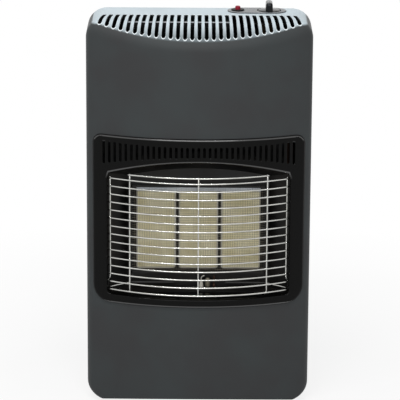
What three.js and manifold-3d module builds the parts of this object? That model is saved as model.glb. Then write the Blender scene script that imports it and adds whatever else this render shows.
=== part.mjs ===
// Portable gas cabinet heater: a bowed sheet-steel cabinet on four swivel casters, with three
// ceramic-plaque burners behind a welded wire guard and a bay for a gas cylinder at the back.
// Millimetres, +Z up, front towards -Y. The origin is on the floor, under the middle of the cabinet.

import * as THREE from 'three';
import { mergeVertices } from 'three/addons/utils/BufferGeometryUtils.js';
import Module from 'manifold-3d';

const wasm = await Module();
wasm.setup();

// ---------------------------------------------------------------- driving dimensions

// Cabinet.
const HALF_WIDTH = 210;
const FRONT_Y = -210;
const REAR_Y = 214;
const TOP_Z = 744;
const SHEET = 1.2;
const GAP = 0.3;

// Bowed front and its rolled top edge.
const BOW_RADIUS = 420;
const BOW_REACH = 200;
const FRONT_CORNER_RADIUS = 10;
const SHOULDER_RADIUS = 37;
const FOOT_CORNER_RADIUS = 32;
const FOOT_CORNER_Z = 38;
const ROLL_BACK_Y = -130;
const ROLL_RISE_BASE = 14;
const ROLL_RISE_SHARE = 0.5;
const CREST_Y = -52;
const SIDE_RETURN_Y = -130;
const HOOD_FOOT_Z = 700;
const SKIRT_Z = 22;
const SKIRT_ARCH_SHARE = 0.352;
const BOW_STEPS = 12;

// Fan of top vents.
const TOP_VENTS_EACH_SIDE = 14;
const TOP_VENT_PITCH = 12.5;
const TOP_VENT_WIDTH = 7.2;
const TOP_VENT_REAR_Y = -120;
const TOP_VENT_SPREAD = 1.056;
const TOP_VENT_MIDDLE_DROP = 30.6;
const TOP_VENT_SIDE_DROP = 10.5;

// Strip under the top vents.
const VENT_RAIL_ENDS = [-135, 59];
const VENT_RAIL_Y = -154;
const VENT_RAIL_DEPTH = 9;
const VENT_RAIL_DROP = 12;
const VENT_RAIL_TOP_Z = 736.4;
const VENT_RAIL_TAB = 4;

// Sloping rear top.
const REAR_SLOPE = Math.tan(THREE.MathUtils.degToRad(12.5));
const TOP_SKIRT_DEPTH = 60;

// Window in the front panel, covered by the bezel.
const WINDOW_HALF_WIDTH = 183;
const WINDOW_BOTTOM_Z = 212;
const WINDOW_TOP_Z = 517;
const WINDOW_LOWER_RADIUS = 20;
const WINDOW_UPPER_RADIUS = 12;

// Side sheets: a tucked strip laps under the front panel and the top.
const SIDE_BOTTOM_Z = 40;
const SIDE_TUCK = 6;
const SIDE_STRIP_FOOT_Z = 60;
const REAR_FLANGE = 14;

// Enamelled bezel and its mouth.
const BEZEL_HALF_WIDTH = 198;
const BEZEL_BOTTOM_Z = 201.5;
const BEZEL_TOP_Z = 528.5;
const BEZEL_TOP_DIP = 4;
const BEZEL_TOP_RADIUS = 18;
const BEZEL_BOTTOM_RADIUS = 33;
const BEZEL_PROUD = 4;
const MOUTH_HALF_WIDTH = 171;
const MOUTH_BOTTOM_Z = 220;
const MOUTH_SIDE_Z = 455;
const MOUTH_TOP_Z = 484;
const MOUTH_CORNER_RADIUS = 10;
const MOUTH_LIP_BACK_Y = -165;
const BEZEL_VENTS_EACH_SIDE = 17;
const BEZEL_VENT_PITCH = 10.38;
const BEZEL_VENT_WIDTH = 4.3;
const BEZEL_VENT_TOP_Z = 513;
const BEZEL_VENT_TOP_RISE = 3.9;
const BEZEL_VENT_BOTTOM_Z = 493.9;
const BEZEL_VENT_BOTTOM_DROP = 20.4;

// Wire guard.
const GUARD_FRONT_Y = -220;
const GUARD_RADIUS = 330;
const GUARD_WIRE_RADIUS = 1.6;
const GUARD_HALF_WIDTH = 169.8;
const GUARD_ROWS = 15;
const GUARD_BOTTOM_Z = 229.2;
const GUARD_PITCH = 15.45;
const GUARD_TOP_ROW_Z = 456;
const GUARD_TOP_ROW_HALF = 131;
const GUARD_RIB_X = 128;
const GUARD_SIDE_RIB_X = 165;
const GUARD_WELD = 0.6;

// Burners.
const BURNER_PITCH = 79.7;
const BURNER_WIDTH = 73.8;
const BURNER_BOTTOM_Z = 260.2;
const BURNER_TOP_Z = 417;
const BURNER_FACE_Y = -140;
const BURNER_DEPTH = 36;
const BURNER_WALL = 2.2;
const BURNER_RADIUS = 5;
const PLAQUE_DEPTH = 13;
const PLAQUE_SETBACK = 1;
const PLAQUE_RADIUS = 3;
const PLAQUE_TOP_MARGIN = 5.4;
const VENTURI_RADIUS = 8;
const VENTURI_WALL = 1.4;
const VENTURI_FLARE = 5;
const VENTURI_FLARE_HEIGHT = 12;
const VENTURI_Y = -118;
const VENTURI_BOTTOM_Z = 206;
const MESH_HALF_WIDTH = 127.5;
const MESH_Y = -146;

// Burner chamber: a funnel from the bezel's mouth to the plate that the burners stand in.
const CHAMBER_FRONT_Y = -164.7;
const CHAMBER_BACK_Y = -128;
const CHAMBER_FRONT_HALF = 169;
const CHAMBER_BACK_HALF = 133;
const CHAMBER_FLOOR_Z = 222;
const CHAMBER_FRONT_TOP_Z = 482;
const CHAMBER_FRONT_SIDE_Z = 453;
const CHAMBER_BACK_TOP_Z = 452.6;
const CHAMBER_BACK_SIDE_Z = 438.5;
const CHAMBER_FLANGE = 12;
const PLATE_HOLE_MARGIN = 2;

// Gauze in front of the plaques: how far its frame passes the burners, and its net.
const MESH_BELOW = 8;
const MESH_ABOVE = 6;
const MESH_EDGE = 3;
const MESH_SHEET = 1;
const MESH_WIRE = 1.2;
const MESH_COLUMNS = 8;
const MESH_ROWS = 5;

// Rail above the plaques and deflector below them.
const RAIL_SHEET = 1.2;
const RAIL_LEDGE = 10;
const DEFLECTOR_HALF = 126;
const DEFLECTOR_OPENING = [-46, 52];
const DEFLECTOR_HEIGHT = 12;
const DEFLECTOR_REACH = 21;
const DEFLECTOR_FOOT = 6;

// Heat shield between the burners and the cylinder bay.
const SHIELD_Y = -96;
const SHIELD_TOP_Z = 694;
const SHIELD_FLANGE = 14;
const SHIELD_TOP_FLANGE = 12;
const SHIELD_TOP_FLANGE_END = 35;
const SHIELD_NOTCH_XS = [40, 165];
const SHIELD_NOTCH_Z = 640;

// Base tray and its pressed-up cylinder shelf.
const BASE_TOP_Z = 58;
const BASE_FLANGE_Z = 38;
const TRAY_CORNER_Y = SIDE_RETURN_Y - 10;
const SHELF_HALF_WIDTH = 180;
const SHELF_FRONT_Y = -84;
const SHELF_REAR_Y = 204;
const SHELF_RISE = 0.8;
const SHELF_RADIUS = 12;
const AIR_SLOT_ROWS = 5;
const AIR_SLOT_PITCH = 26;
const AIR_SLOT_MIDDLE_Y = 60;
const AIR_SLOT_HALF = 42;
const AIR_SLOT_RADIUS = 4;

// Lift-off rear cover.
const COVER_FACE_Y = 219;
const COVER_HALF_WIDTH = 200;
const COVER_BOTTOM_Z = 64;
const COVER_TOP_Z = 658;
const COVER_RIM = 3.2;
const COVER_RADIUS = 8;
const COVER_VENT_X = 75;
const COVER_VENT_HALF = 42;
const COVER_VENT_RADIUS = 3;
const COVER_VENT_PITCH = 20;
const COVER_VENT_ROWS = 4;
const COVER_VENT_STARTS = [120, 540];
const HAND_HOLE_Z = 470;
const HAND_HOLE_HALF = 38;
const HAND_HOLE_RADIUS = 14;
const HOOK_TAB = 14;
const HOOK_LEG = 10;
const HOOK_X = 198;
const HOOK_WIDTH = 8;
const HOOK_SLOT_HEIGHT = 20;
const HOOK_HEIGHTS = [150, 560];
const HOOK_CLEARANCE = 1.5;

// Injectors below the mixing tubes.
const INJECTOR_BAR_Z = 192;
const INJECTOR_BAR_SHEET = 1.6;
const INJECTOR_BAR_DEPTH = 42;
const INJECTOR_BAR_WALL = 18;
const INJECTOR_BAR_OVERHANG = 22;
const INJECTOR_RADIUS = 4;
const INJECTOR_TAIL = 14;
const INJECTOR_HEX_RADIUS = 7;
const INJECTOR_HEAD = 5;
const INJECTOR_NUT = 6;
const INJECTOR_TIP_Z = VENTURI_BOTTOM_Z + 3;

// Pilot group under the middle burner.
const PILOT_X = 18;
const PILOT_Y = -151;
const PILOT_PITCH = 12;
const PILOT_BASE_Z = CHAMBER_FLOOR_Z + GAP;
const PILOT_LINE_Y = PILOT_Y + 7;
const PILOT_HALF = 18;
const PILOT_DEPTH = 16;
const PILOT_SHEET = 1.6;

// Controls.
const PLATE_CENTRE_X = 106.8;
const PLATE_CENTRE_Y = -80;
const PLATE_LENGTH = 109.6;
const PLATE_DEPTH = 49;
const PLATE_THICKNESS = 1.5;
const KNOB_X = 129.5;
const KNOB_RADIUS = 21;
const KNOB_HOLE_RADIUS = 22.5;
const KNOB_SKIRT = 4;
const KNOB_SOCKET = 6;
const BLADE_FOOT_WIDTH = 14;
const BLADE_TOP_WIDTH = 10;
const STOP_WASHER_RADIUS = 8;
const KNOB_TOP_Z = 762;
const IGNITER_X = 71;
const IGNITER_HOLE_RADIUS = 9.9;
const IGNITER_COLLAR_RADIUS = 12.5;
const BUTTON_RADIUS = 4.9;
const BUTTON_TOP_Z = 754;
const PLATE_LOW_Z = TOP_Z + GAP;
const PLATE_TOP_Z = PLATE_LOW_Z + PLATE_THICKNESS;
const KNOB_FOOT_Z = PLATE_TOP_Z - 3;
const IGNITER_FOOT_Z = 676;
const IGNITER_HEAD_Z = TOP_Z - 16;

// Gas valve under the control plate, its bracket and its pipes.
const VALVE_LOW_Z = 672;
const VALVE_HIGH_Z = 722;
const VALVE_HALF = 20;
const VALVE_RADIUS = 5;
const VALVE_FRONT_Y = PLATE_CENTRE_Y - 17;
const VALVE_REAR_Y = PLATE_CENTRE_Y + 17;
const BONNET_RADIUS = 13;
const BONNET_HEIGHT = 5;
const OUTLET_ZS = [682, 696, 710];
const OUTLET_PITCH = 12;
const OUTLET_BOSS = 8;
const OUTLET_RADIUS = 5;
const INLET_Z = 690;
const INLET_BOSS = 12;
const INLET_RADIUS = 8;
const SPINDLE_RADIUS = 3;
const SPINDLE_BORE = 3.4;
const BRACKET_HALF = 36;
const BRACKET_SHEET = 1.6;
const BRACKET_TAB = 9;
const PIPE_RADIUS = 3;
const PILOT_PIPE_RADIUS = 1.8;
const CAPILLARY_RADIUS = 1.1;
const LEAD_RADIUS = 1.5;

// Casters.
const CASTER_X = 158;
const CASTER_YS = [-102, 168];
const CASTER_TRAIL = 20;
const WHEEL_RADIUS = 19;
const WHEEL_WIDTH = 16;
const AXLE_RADIUS = 3;
const AXLE_HEAD_RADIUS = 4.6;
const AXLE_HEAD = 1.2;
const CASTER_PLATE_HALF = 24;
const CASTER_TOP_Z = BASE_TOP_Z - SHEET - GAP;
const FORK_CROWN_Z = 46;
const FORK_CROWN_RADIUS = 14;
const FORK_BORE = 4.6;
const SWIVEL_PIN_RADIUS = 4;
const CHEEK_IN = WHEEL_WIDTH / 2 + 1.2;
const CHEEK = 1.6;
const CHEEK_OUT = CHEEK_IN + CHEEK;

// ---------------------------------------------------------------- finishes

function finish(color, roughness, metalness) {
  return () => new THREE.MeshStandardMaterial({ color, roughness, metalness });
}

const greyPaint = finish(0x424448, 0.55, 0.2);
const blackEnamel = finish(0x1c1c1b, 0.25, 0.1);
const heatBlack = finish(0x202020, 0.7, 0.3);
const chrome = finish(0xd8dadc, 0.15, 1.0);
const zincSteel = finish(0x9a9c9e, 0.4, 0.9);
const aluminisedSteel = finish(0xb4b2a8, 0.45, 0.85);
const brass = finish(0xb08d4a, 0.35, 1.0);
const ceramic = finish(0xc8c2a4, 0.95, 0.0);
const brushedPlate = finish(0xb9bcc0, 0.35, 0.9);
const redPlastic = finish(0xb0182c, 0.35, 0.0);
const blackPlastic = finish(0x151515, 0.45, 0.0);
const casterRubber = finish(0x2a2a2b, 0.7, 0.0);
const leadSleeve = finish(0x1d1d1f, 0.6, 0.0);
const copper = finish(0xa8694a, 0.4, 1.0);

// ---------------------------------------------------------------- solids

// A closed geometry as a solid that can be cut and joined.
function solid(geometry) {
  const bare = geometry.clone();
  bare.deleteAttribute('normal');
  bare.deleteAttribute('uv');
  const merged = mergeVertices(bare, 1e-4);
  return new wasm.Manifold(new wasm.Mesh({
    numProp: 3,
    vertProperties: new Float32Array(merged.attributes.position.array),
    triVerts: new Uint32Array(merged.index.array),
  }));
}

function geometryOf(body) {
  const mesh = body.getMesh();
  const geometry = new THREE.BufferGeometry();
  geometry.setAttribute('position', new THREE.BufferAttribute(mesh.vertProperties, 3));
  geometry.setIndex(new THREE.BufferAttribute(mesh.triVerts, 1));
  geometry.computeVertexNormals();
  return geometry;
}

function join(...bodies) {
  return bodies.reduce((all, body) => all.add(body));
}

function cut(body, ...tools) {
  return tools.reduce((left, tool) => left.subtract(tool), body);
}

// Prisms: the outline lies in the plane square to the named axis.
function prismZ(shape, low, high, steps = 3) {
  const options = { depth: high - low, bevelEnabled: false, curveSegments: steps };
  return solid(new THREE.ExtrudeGeometry(shape, options).translate(0, 0, low));
}

function prismY(shape, low, high, steps = 3) {
  const options = { depth: high - low, bevelEnabled: false, curveSegments: steps };
  return solid(new THREE.ExtrudeGeometry(shape, options).rotateX(Math.PI / 2).translate(0, high, 0));
}

const YZ_PLANE = new THREE.Matrix4().makeBasis(
  new THREE.Vector3(0, 1, 0),
  new THREE.Vector3(0, 0, 1),
  new THREE.Vector3(1, 0, 0),
);

function prismX(shape, low, high, steps = 3) {
  const options = { depth: high - low, bevelEnabled: false, curveSegments: steps };
  return solid(new THREE.ExtrudeGeometry(shape, options).applyMatrix4(YZ_PLANE).translate(low, 0, 0));
}

function block(xs, ys, zs) {
  const geometry = new THREE.BoxGeometry(xs[1] - xs[0], ys[1] - ys[0], zs[1] - zs[0]);
  geometry.translate((xs[0] + xs[1]) / 2, (ys[0] + ys[1]) / 2, (zs[0] + zs[1]) / 2);
  return solid(geometry);
}

// A revolved profile of [radius, height] points about a vertical axis.
function turned(profile, segments, x = 0, y = 0) {
  const points = profile.map(([r, z]) => new THREE.Vector2(r, z));
  const geometry = new THREE.LatheGeometry(points, segments).rotateX(Math.PI / 2);
  return solid(geometry.translate(x, y, 0));
}

function post(radius, low, high, x = 0, y = 0, segments = 16) {
  return turned([[0, low], [radius, low], [radius, high], [0, high]], segments, x, y);
}

// A regular section, for wires and pipes.
function roundSection(radius, sides) {
  const corners = [];
  for (let i = 0; i < sides; i += 1) {
    const angle = (i / sides) * Math.PI * 2;
    corners.push(new THREE.Vector2(Math.cos(angle) * radius, Math.sin(angle) * radius));
  }
  return new THREE.Shape(corners);
}

function rod(curve, radius, sides, steps) {
  const options = { extrudePath: curve, steps, bevelEnabled: false };
  return solid(new THREE.ExtrudeGeometry(roundSection(radius, sides), options));
}

// A ring with square edges, about a vertical axis.
function ring(bore, radius, low, high, segments, x = 0, y = 0) {
  return turned([[bore, low], [radius, low], [radius, high], [bore, high], [bore, low]], segments, x, y);
}

function straight(from, to) {
  return new THREE.LineCurve3(new THREE.Vector3(...from), new THREE.Vector3(...to));
}

function routed(points) {
  return new THREE.CatmullRomCurve3(points.map((p) => new THREE.Vector3(...p)), false, 'centripetal');
}

// ---------------------------------------------------------------- outlines

// A rectangle with its own radius at each corner, from the lower left corner counter-clockwise.
function roundedRectangle(left, bottom, right, top, radii) {
  const [lowerLeft, lowerRight, upperRight, upperLeft] = radii;
  const shape = new THREE.Shape();
  shape.moveTo(left + lowerLeft, bottom);
  shape.lineTo(right - lowerRight, bottom);
  shape.absarc(right - lowerRight, bottom + lowerRight, lowerRight, -Math.PI / 2, 0);
  shape.lineTo(right, top - upperRight);
  shape.absarc(right - upperRight, top - upperRight, upperRight, 0, Math.PI / 2);
  shape.lineTo(left + upperLeft, top);
  shape.absarc(left + upperLeft, top - upperLeft, upperLeft, Math.PI / 2, Math.PI);
  shape.lineTo(left, bottom + lowerLeft);
  shape.absarc(left + lowerLeft, bottom + lowerLeft, lowerLeft, Math.PI, Math.PI * 1.5);
  return shape;
}

function stadium(cx, cy, halfLength, radius) {
  const shape = new THREE.Shape();
  shape.absarc(cx + halfLength, cy, radius, -Math.PI / 2, Math.PI / 2);
  shape.absarc(cx - halfLength, cy, radius, Math.PI / 2, Math.PI * 1.5);
  return shape;
}

function uprightSlot(x, bottom, top, radius) {
  const shape = new THREE.Shape();
  shape.absarc(x, top - radius, radius, 0, Math.PI);
  shape.absarc(x, bottom + radius, radius, Math.PI, Math.PI * 2);
  return shape;
}

// How far the bowed front stands back at x from its foremost line.
function bowSag(x, radius = BOW_RADIUS) {
  return radius - Math.sqrt(radius * radius - x * x);
}

// Stations across the front, shared by every piece that follows the bow.
function bowStations(halfWidth) {
  const stations = [];
  for (let i = 0; i <= BOW_STEPS; i += 1) {
    stations.push(halfWidth * ((2 * i) / BOW_STEPS - 1));
  }
  return stations;
}

// A band that follows the bow between two distances in front of (-) or behind (+) the panel face.
function bowBand(halfWidth, front, back, low, high) {
  const shape = new THREE.Shape();
  const stations = bowStations(halfWidth);
  stations.forEach((x, i) => {
    const y = FRONT_Y + bowSag(x) + front;
    if (i === 0) {
      shape.moveTo(x, y);
    } else {
      shape.lineTo(x, y);
    }
  });
  stations.reverse().forEach((x) => shape.lineTo(x, FRONT_Y + bowSag(x) + back));
  return prismZ(shape, low, high);
}

// ---------------------------------------------------------------- front panel

// Half the cabinet's width at a height: square in the middle, rounded at shoulder and foot.
function halfWidthAt(z, inset) {
  const shoulder = TOP_Z - SHOULDER_RADIUS;
  if (z > shoulder) {
    const r = SHOULDER_RADIUS - inset;
    return HALF_WIDTH - SHOULDER_RADIUS + Math.sqrt(Math.max(0, r * r - (z - shoulder) ** 2));
  }
  if (z < FOOT_CORNER_Z) {
    const r = FOOT_CORNER_RADIUS - inset;
    const drop = Math.min(FOOT_CORNER_Z - z, r);
    return HALF_WIDTH - FOOT_CORNER_RADIUS + Math.sqrt(r * r - drop * drop);
  }
  return HALF_WIDTH - inset;
}

// The roll's depth and height at x: it ends behind on a straight line across the top.
function rollDepth(x) {
  return ROLL_BACK_Y - FRONT_Y - bowSag(x);
}

function rollRise(x) {
  return ROLL_RISE_BASE + ROLL_RISE_SHARE * rollDepth(x);
}

// How far the rolled top edge stands back at x and z: a quarter ellipse.
function rollSetback(x, z, inset) {
  const rise = rollRise(x);
  const up = (z - (TOP_Z - rise)) / (rise - inset);
  if (up <= 0) {
    return 0;
  }
  return (rollDepth(x) - inset) * (1 - Math.sqrt(Math.max(0, 1 - up * up)));
}

function frontFaceY(x, z, inset) {
  return FRONT_Y + inset + bowSag(x) + rollSetback(x, z, inset);
}

// One level of the cabinet's front half, seen from above, from the left side round to the right.
function planRing(z, inset, backY) {
  const half = halfWidthAt(z, inset);
  const corner = FRONT_CORNER_RADIUS - inset;
  const points = [];
  const cornerSteps = 2;
  for (let i = 0; i <= cornerSteps; i += 1) {
    const angle = (i / cornerSteps) * (Math.PI / 2);
    const x = half - corner + corner * Math.cos(angle);
    const back = corner * (1 - Math.sin(angle));
    points.push([-x, frontFaceY(x, z, inset) + back]);
  }
  bowStations(half - corner).slice(1, -1).forEach((x) => {
    points.push([x, frontFaceY(x, z, inset)]);
  });
  const left = points.slice(0, cornerSteps + 1);
  left.reverse().forEach(([x, y]) => points.push([-x, y]));
  points.push([half, backY]);
  points.push([-half, backY]);
  return points.map(([x, y]) => new THREE.Vector3(x, y, z));
}

// A closed solid through rings of equal point count, lowest first, each counter-clockwise from above.
function loft(rings) {
  const count = rings[0].length;
  const positions = rings.flat().flatMap((p) => [p.x, p.y, p.z]);
  const indices = [];
  for (let r = 0; r < rings.length - 1; r += 1) {
    for (let i = 0; i < count; i += 1) {
      const next = (i + 1) % count;
      const a = r * count + i;
      const b = r * count + next;
      indices.push(a, b, b + count, a, b + count, a + count);
    }
  }
  const flat = (ring) => ring.map((p) => new THREE.Vector2(p.x, p.y));
  const topStart = (rings.length - 1) * count;
  THREE.ShapeUtils.triangulateShape(flat(rings[0]), []).forEach(([a, b, c]) => {
    indices.push(a, c, b);
  });
  THREE.ShapeUtils.triangulateShape(flat(rings.at(-1)), []).forEach(([a, b, c]) => {
    indices.push(topStart + a, topStart + b, topStart + c);
  });
  const geometry = new THREE.BufferGeometry();
  geometry.setAttribute('position', new THREE.Float32BufferAttribute(positions, 3));
  geometry.setIndex(indices);
  return solid(geometry);
}

function frontBlock(inset, lowZ, backY) {
  const rollFoot = TOP_Z - rollRise(0);
  const levels = [lowZ];
  const footSteps = 4;
  for (let i = 1; i <= footSteps; i += 1) {
    const angle = (i / footSteps) * (Math.PI / 2);
    levels.push(FOOT_CORNER_Z - (FOOT_CORNER_RADIUS - inset) * Math.cos(angle));
  }
  levels.push(rollFoot);
  const shoulder = TOP_Z - SHOULDER_RADIUS;
  const rollSteps = 4;
  for (let i = 0; i <= rollSteps; i += 1) {
    const angle = (i / rollSteps) * (Math.PI / 2);
    levels.push(shoulder + (TOP_Z - inset - shoulder) * Math.sin(angle));
  }
  return loft(levels.map((z) => planRing(z, inset, backY)));
}

// One top vent: a stadium laid along the roll, square to the chord from its lower to its upper end.
function topVentCutter(index) {
  const rearX = TOP_VENT_PITCH * index;
  const lowX = rearX * TOP_VENT_SPREAD;
  const share = (index / TOP_VENTS_EACH_SIDE) ** 2;
  const lowZ = TOP_Z - TOP_VENT_MIDDLE_DROP + (TOP_VENT_MIDDLE_DROP - TOP_VENT_SIDE_DROP) * share;
  const low = new THREE.Vector3(lowX, frontFaceY(lowX, lowZ, 0), lowZ);
  const high = new THREE.Vector3(rearX, TOP_VENT_REAR_Y, TOP_Z);
  const along = high.clone().sub(low);
  const length = along.length();
  along.normalize();
  const across = new THREE.Vector3(1, 0, 0).addScaledVector(along, -along.x).normalize();
  const out = new THREE.Vector3().crossVectors(across, along);
  const reach = 30;
  const options = { depth: reach * 2, bevelEnabled: false, curveSegments: 2 };
  const outline = uprightSlot(0, -length / 2, length / 2, TOP_VENT_WIDTH / 2);
  const geometry = new THREE.ExtrudeGeometry(outline, options).translate(0, 0, -reach);
  const middle = low.clone().add(high).multiplyScalar(0.5);
  const place = new THREE.Matrix4().makeBasis(across, along, out).setPosition(middle);
  return solid(geometry.applyMatrix4(place));
}

// The lower edge is arched, so that the bowed skirt stays clear of the floor in the middle.
function skirtTrim() {
  const reach = HALF_WIDTH + 20;
  const edge = new THREE.Shape();
  edge.moveTo(-reach, -20);
  edge.lineTo(reach, -20);
  const steps = 12;
  for (let i = 0; i <= steps; i += 1) {
    const x = reach * (1 - (2 * i) / steps);
    edge.lineTo(x, SKIRT_Z - SKIRT_ARCH_SHARE * bowSag(x));
  }
  return prismY(edge, FRONT_Y - 10, CREST_Y + 10);
}

function controlHoles(low, high) {
  return [
    post(KNOB_HOLE_RADIUS, low, high, KNOB_X, PLATE_CENTRE_Y, 20),
    post(IGNITER_HOLE_RADIUS, low, high, IGNITER_X, PLATE_CENTRE_Y, 12),
  ];
}

function frontPanel() {
  const outer = frontBlock(0, 0, CREST_Y);
  const inner = frontBlock(SHEET, -20, CREST_Y + 20);
  const far = HALF_WIDTH + 10;
  const belowHood = block([-far, far], [SIDE_RETURN_Y, CREST_Y + 10], [-10, HOOD_FOOT_Z]);
  const window = roundedRectangle(
    -WINDOW_HALF_WIDTH, WINDOW_BOTTOM_Z, WINDOW_HALF_WIDTH, WINDOW_TOP_Z,
    [WINDOW_LOWER_RADIUS, WINDOW_LOWER_RADIUS, WINDOW_UPPER_RADIUS, WINDOW_UPPER_RADIUS],
  );
  const vents = [];
  for (let i = -TOP_VENTS_EACH_SIDE; i <= TOP_VENTS_EACH_SIDE; i += 1) {
    vents.push(topVentCutter(i));
  }
  return cut(
    outer,
    inner,
    belowHood,
    skirtTrim(),
    prismY(window, FRONT_Y - 10, SIDE_RETURN_Y - 4, 3),
    ...vents,
    ...controlHoles(TOP_Z - 10, TOP_Z + 10),
  );
}

// ---------------------------------------------------------------- side, top, base and rear

const SIDE_TOP_Z = HOOD_FOOT_Z - GAP;

function sideTopAt(y) {
  return SIDE_TOP_Z - Math.max(0, y - CREST_Y) * REAR_SLOPE;
}

// A band along a side's front and top edges, reaching past them by one width and inside by the tuck.
function edgeBand(past) {
  const frontY = SIDE_RETURN_Y + GAP;
  const band = new THREE.Shape();
  band.moveTo(frontY - past, SIDE_STRIP_FOOT_Z);
  band.lineTo(frontY + SIDE_TUCK, SIDE_STRIP_FOOT_Z);
  band.lineTo(frontY + SIDE_TUCK, SIDE_TOP_Z - SIDE_TUCK);
  band.lineTo(CREST_Y, SIDE_TOP_Z - SIDE_TUCK);
  band.lineTo(REAR_Y, sideTopAt(REAR_Y) - SIDE_TUCK);
  band.lineTo(REAR_Y, sideTopAt(REAR_Y) + past);
  band.lineTo(CREST_Y, SIDE_TOP_Z + past);
  band.lineTo(frontY - past, SIDE_TOP_Z + past);
  return band;
}

// A flat side sheet with a tucked strip under the hood, and a rear flange with two hook slots.
function sidePanel(side) {
  const frontY = SIDE_RETURN_Y + GAP;
  const outline = new THREE.Shape();
  outline.moveTo(frontY, SIDE_BOTTOM_Z);
  outline.lineTo(REAR_Y, SIDE_BOTTOM_Z);
  outline.lineTo(REAR_Y, sideTopAt(REAR_Y));
  outline.lineTo(CREST_Y, SIDE_TOP_Z);
  outline.lineTo(frontY, SIDE_TOP_Z);
  const sheet = prismX(outline, HALF_WIDTH - SHEET, HALF_WIDTH);
  const stripIn = HALF_WIDTH - 2 * SHEET - GAP;
  const tucked = prismX(edgeBand(SIDE_TUCK), stripIn, HALF_WIDTH - SHEET - GAP);
  const fused = prismX(edgeBand(0), stripIn, HALF_WIDTH - SHEET / 2);
  const flange = block(
    [COVER_HALF_WIDTH - REAR_FLANGE, HALF_WIDTH - SHEET / 2],
    [REAR_Y - SHEET, REAR_Y],
    [SIDE_BOTTOM_Z, sideTopAt(REAR_Y) - 2 * SIDE_TUCK],
  );
  const slotHalf = HOOK_WIDTH / 2 + HOOK_CLEARANCE;
  const slots = HOOK_HEIGHTS.map((z) => block(
    [HOOK_X - slotHalf, HOOK_X + slotHalf],
    [REAR_Y - 5, REAR_Y + 5],
    [z - GAP, z + HOOK_SLOT_HEIGHT],
  ));
  const right = cut(join(sheet, tucked, fused, flange), ...slots);
  return side > 0 ? right : right.mirror([1, 0, 0]);
}

// The shoulder section between two heights, kept inside the cabinet's sides by an inset.
function shoulderSection(inset, low, high) {
  const half = HALF_WIDTH - inset;
  const radius = SHOULDER_RADIUS - inset;
  return roundedRectangle(-half, low, half, high, [0.1, 0.1, radius, radius]);
}

// The rear top: the shoulder section carried back on a falling line, with a drop flange at the rear.
function topPanel() {
  const frontY = CREST_Y + GAP;
  const shear = new THREE.Matrix4().makeShear(0, 0, 0, -REAR_SLOPE, 0, 0);
  const sheared = (shape, low, high) => {
    const options = { depth: high - low, bevelEnabled: false, curveSegments: 5 };
    const geometry = new THREE.ExtrudeGeometry(shape, options).rotateX(Math.PI / 2);
    geometry.translate(0, high - CREST_Y, 0).applyMatrix4(shear).translate(0, CREST_Y, 0);
    return solid(geometry);
  };
  const outer = shoulderSection(0, HOOD_FOOT_Z, TOP_Z);
  const inner = shoulderSection(SHEET, HOOD_FOOT_Z - TOP_SKIRT_DEPTH, TOP_Z - SHEET);
  const sheet = cut(sheared(outer, frontY, REAR_Y), sheared(inner, frontY - 10, REAR_Y + 10));
  const rearTop = TOP_Z - (REAR_Y - CREST_Y) * REAR_SLOPE;
  const flange = shoulderSection(SHEET / 2, rearTop - TOP_SKIRT_DEPTH, rearTop - SHEET / 2);
  const far = 2 * HALF_WIDTH;
  const opening = block([-far, far], [REAR_Y - 20, REAR_Y + 10], [0, rearTop - SHOULDER_RADIUS + SIDE_TUCK]);
  return join(sheet, cut(prismY(flange, REAR_Y - SHEET, REAR_Y, 5), opening));
}

// The floor of the cabinet: a tray turned down on every side, bowed at the front. Its middle is
// pressed up into a shelf for the cylinder, with air slots.
function baseTray() {
  const half = HALF_WIDTH - SHEET - GAP;
  const back = REAR_Y - SHEET - GAP;
  const front = SHEET + GAP;
  const plan = (inset) => {
    const shape = new THREE.Shape();
    const side = half - inset;
    const reach = Math.min(side, BOW_REACH - inset);
    bowStations(reach).forEach((x, i) => {
      const y = FRONT_Y + bowSag(x) + front + inset;
      if (i === 0) {
        shape.moveTo(x, y);
      } else {
        shape.lineTo(x, y);
      }
    });
    shape.lineTo(side, TRAY_CORNER_Y);
    shape.lineTo(side, back - inset);
    shape.lineTo(-side, back - inset);
    shape.lineTo(-side, TRAY_CORNER_Y);
    return shape;
  };
  const shelf = (inset, low, high) => prismZ(roundedRectangle(
    -SHELF_HALF_WIDTH + inset, SHELF_FRONT_Y + inset, SHELF_HALF_WIDTH - inset, SHELF_REAR_Y - inset,
    Array(4).fill(SHELF_RADIUS - inset),
  ), low, high);
  const outer = join(
    prismZ(plan(0), BASE_FLANGE_Z, BASE_TOP_Z),
    shelf(0, BASE_TOP_Z - SHEET, BASE_TOP_Z + SHELF_RISE),
  );
  const inner = join(
    prismZ(plan(SHEET), BASE_FLANGE_Z - 10, BASE_TOP_Z - SHEET),
    shelf(SHEET, BASE_TOP_Z - 2 * SHEET, BASE_TOP_Z - SHEET + SHELF_RISE),
  );
  const airSlots = [];
  for (let row = 0; row < AIR_SLOT_ROWS; row += 1) {
    const y = AIR_SLOT_MIDDLE_Y + (row - (AIR_SLOT_ROWS - 1) / 2) * AIR_SLOT_PITCH;
    airSlots.push(prismZ(stadium(0, y, AIR_SLOT_HALF, AIR_SLOT_RADIUS), BASE_TOP_Z - 5, BASE_TOP_Z + 5, 2));
  }
  return cut(outer, inner, ...airSlots);
}

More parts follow.
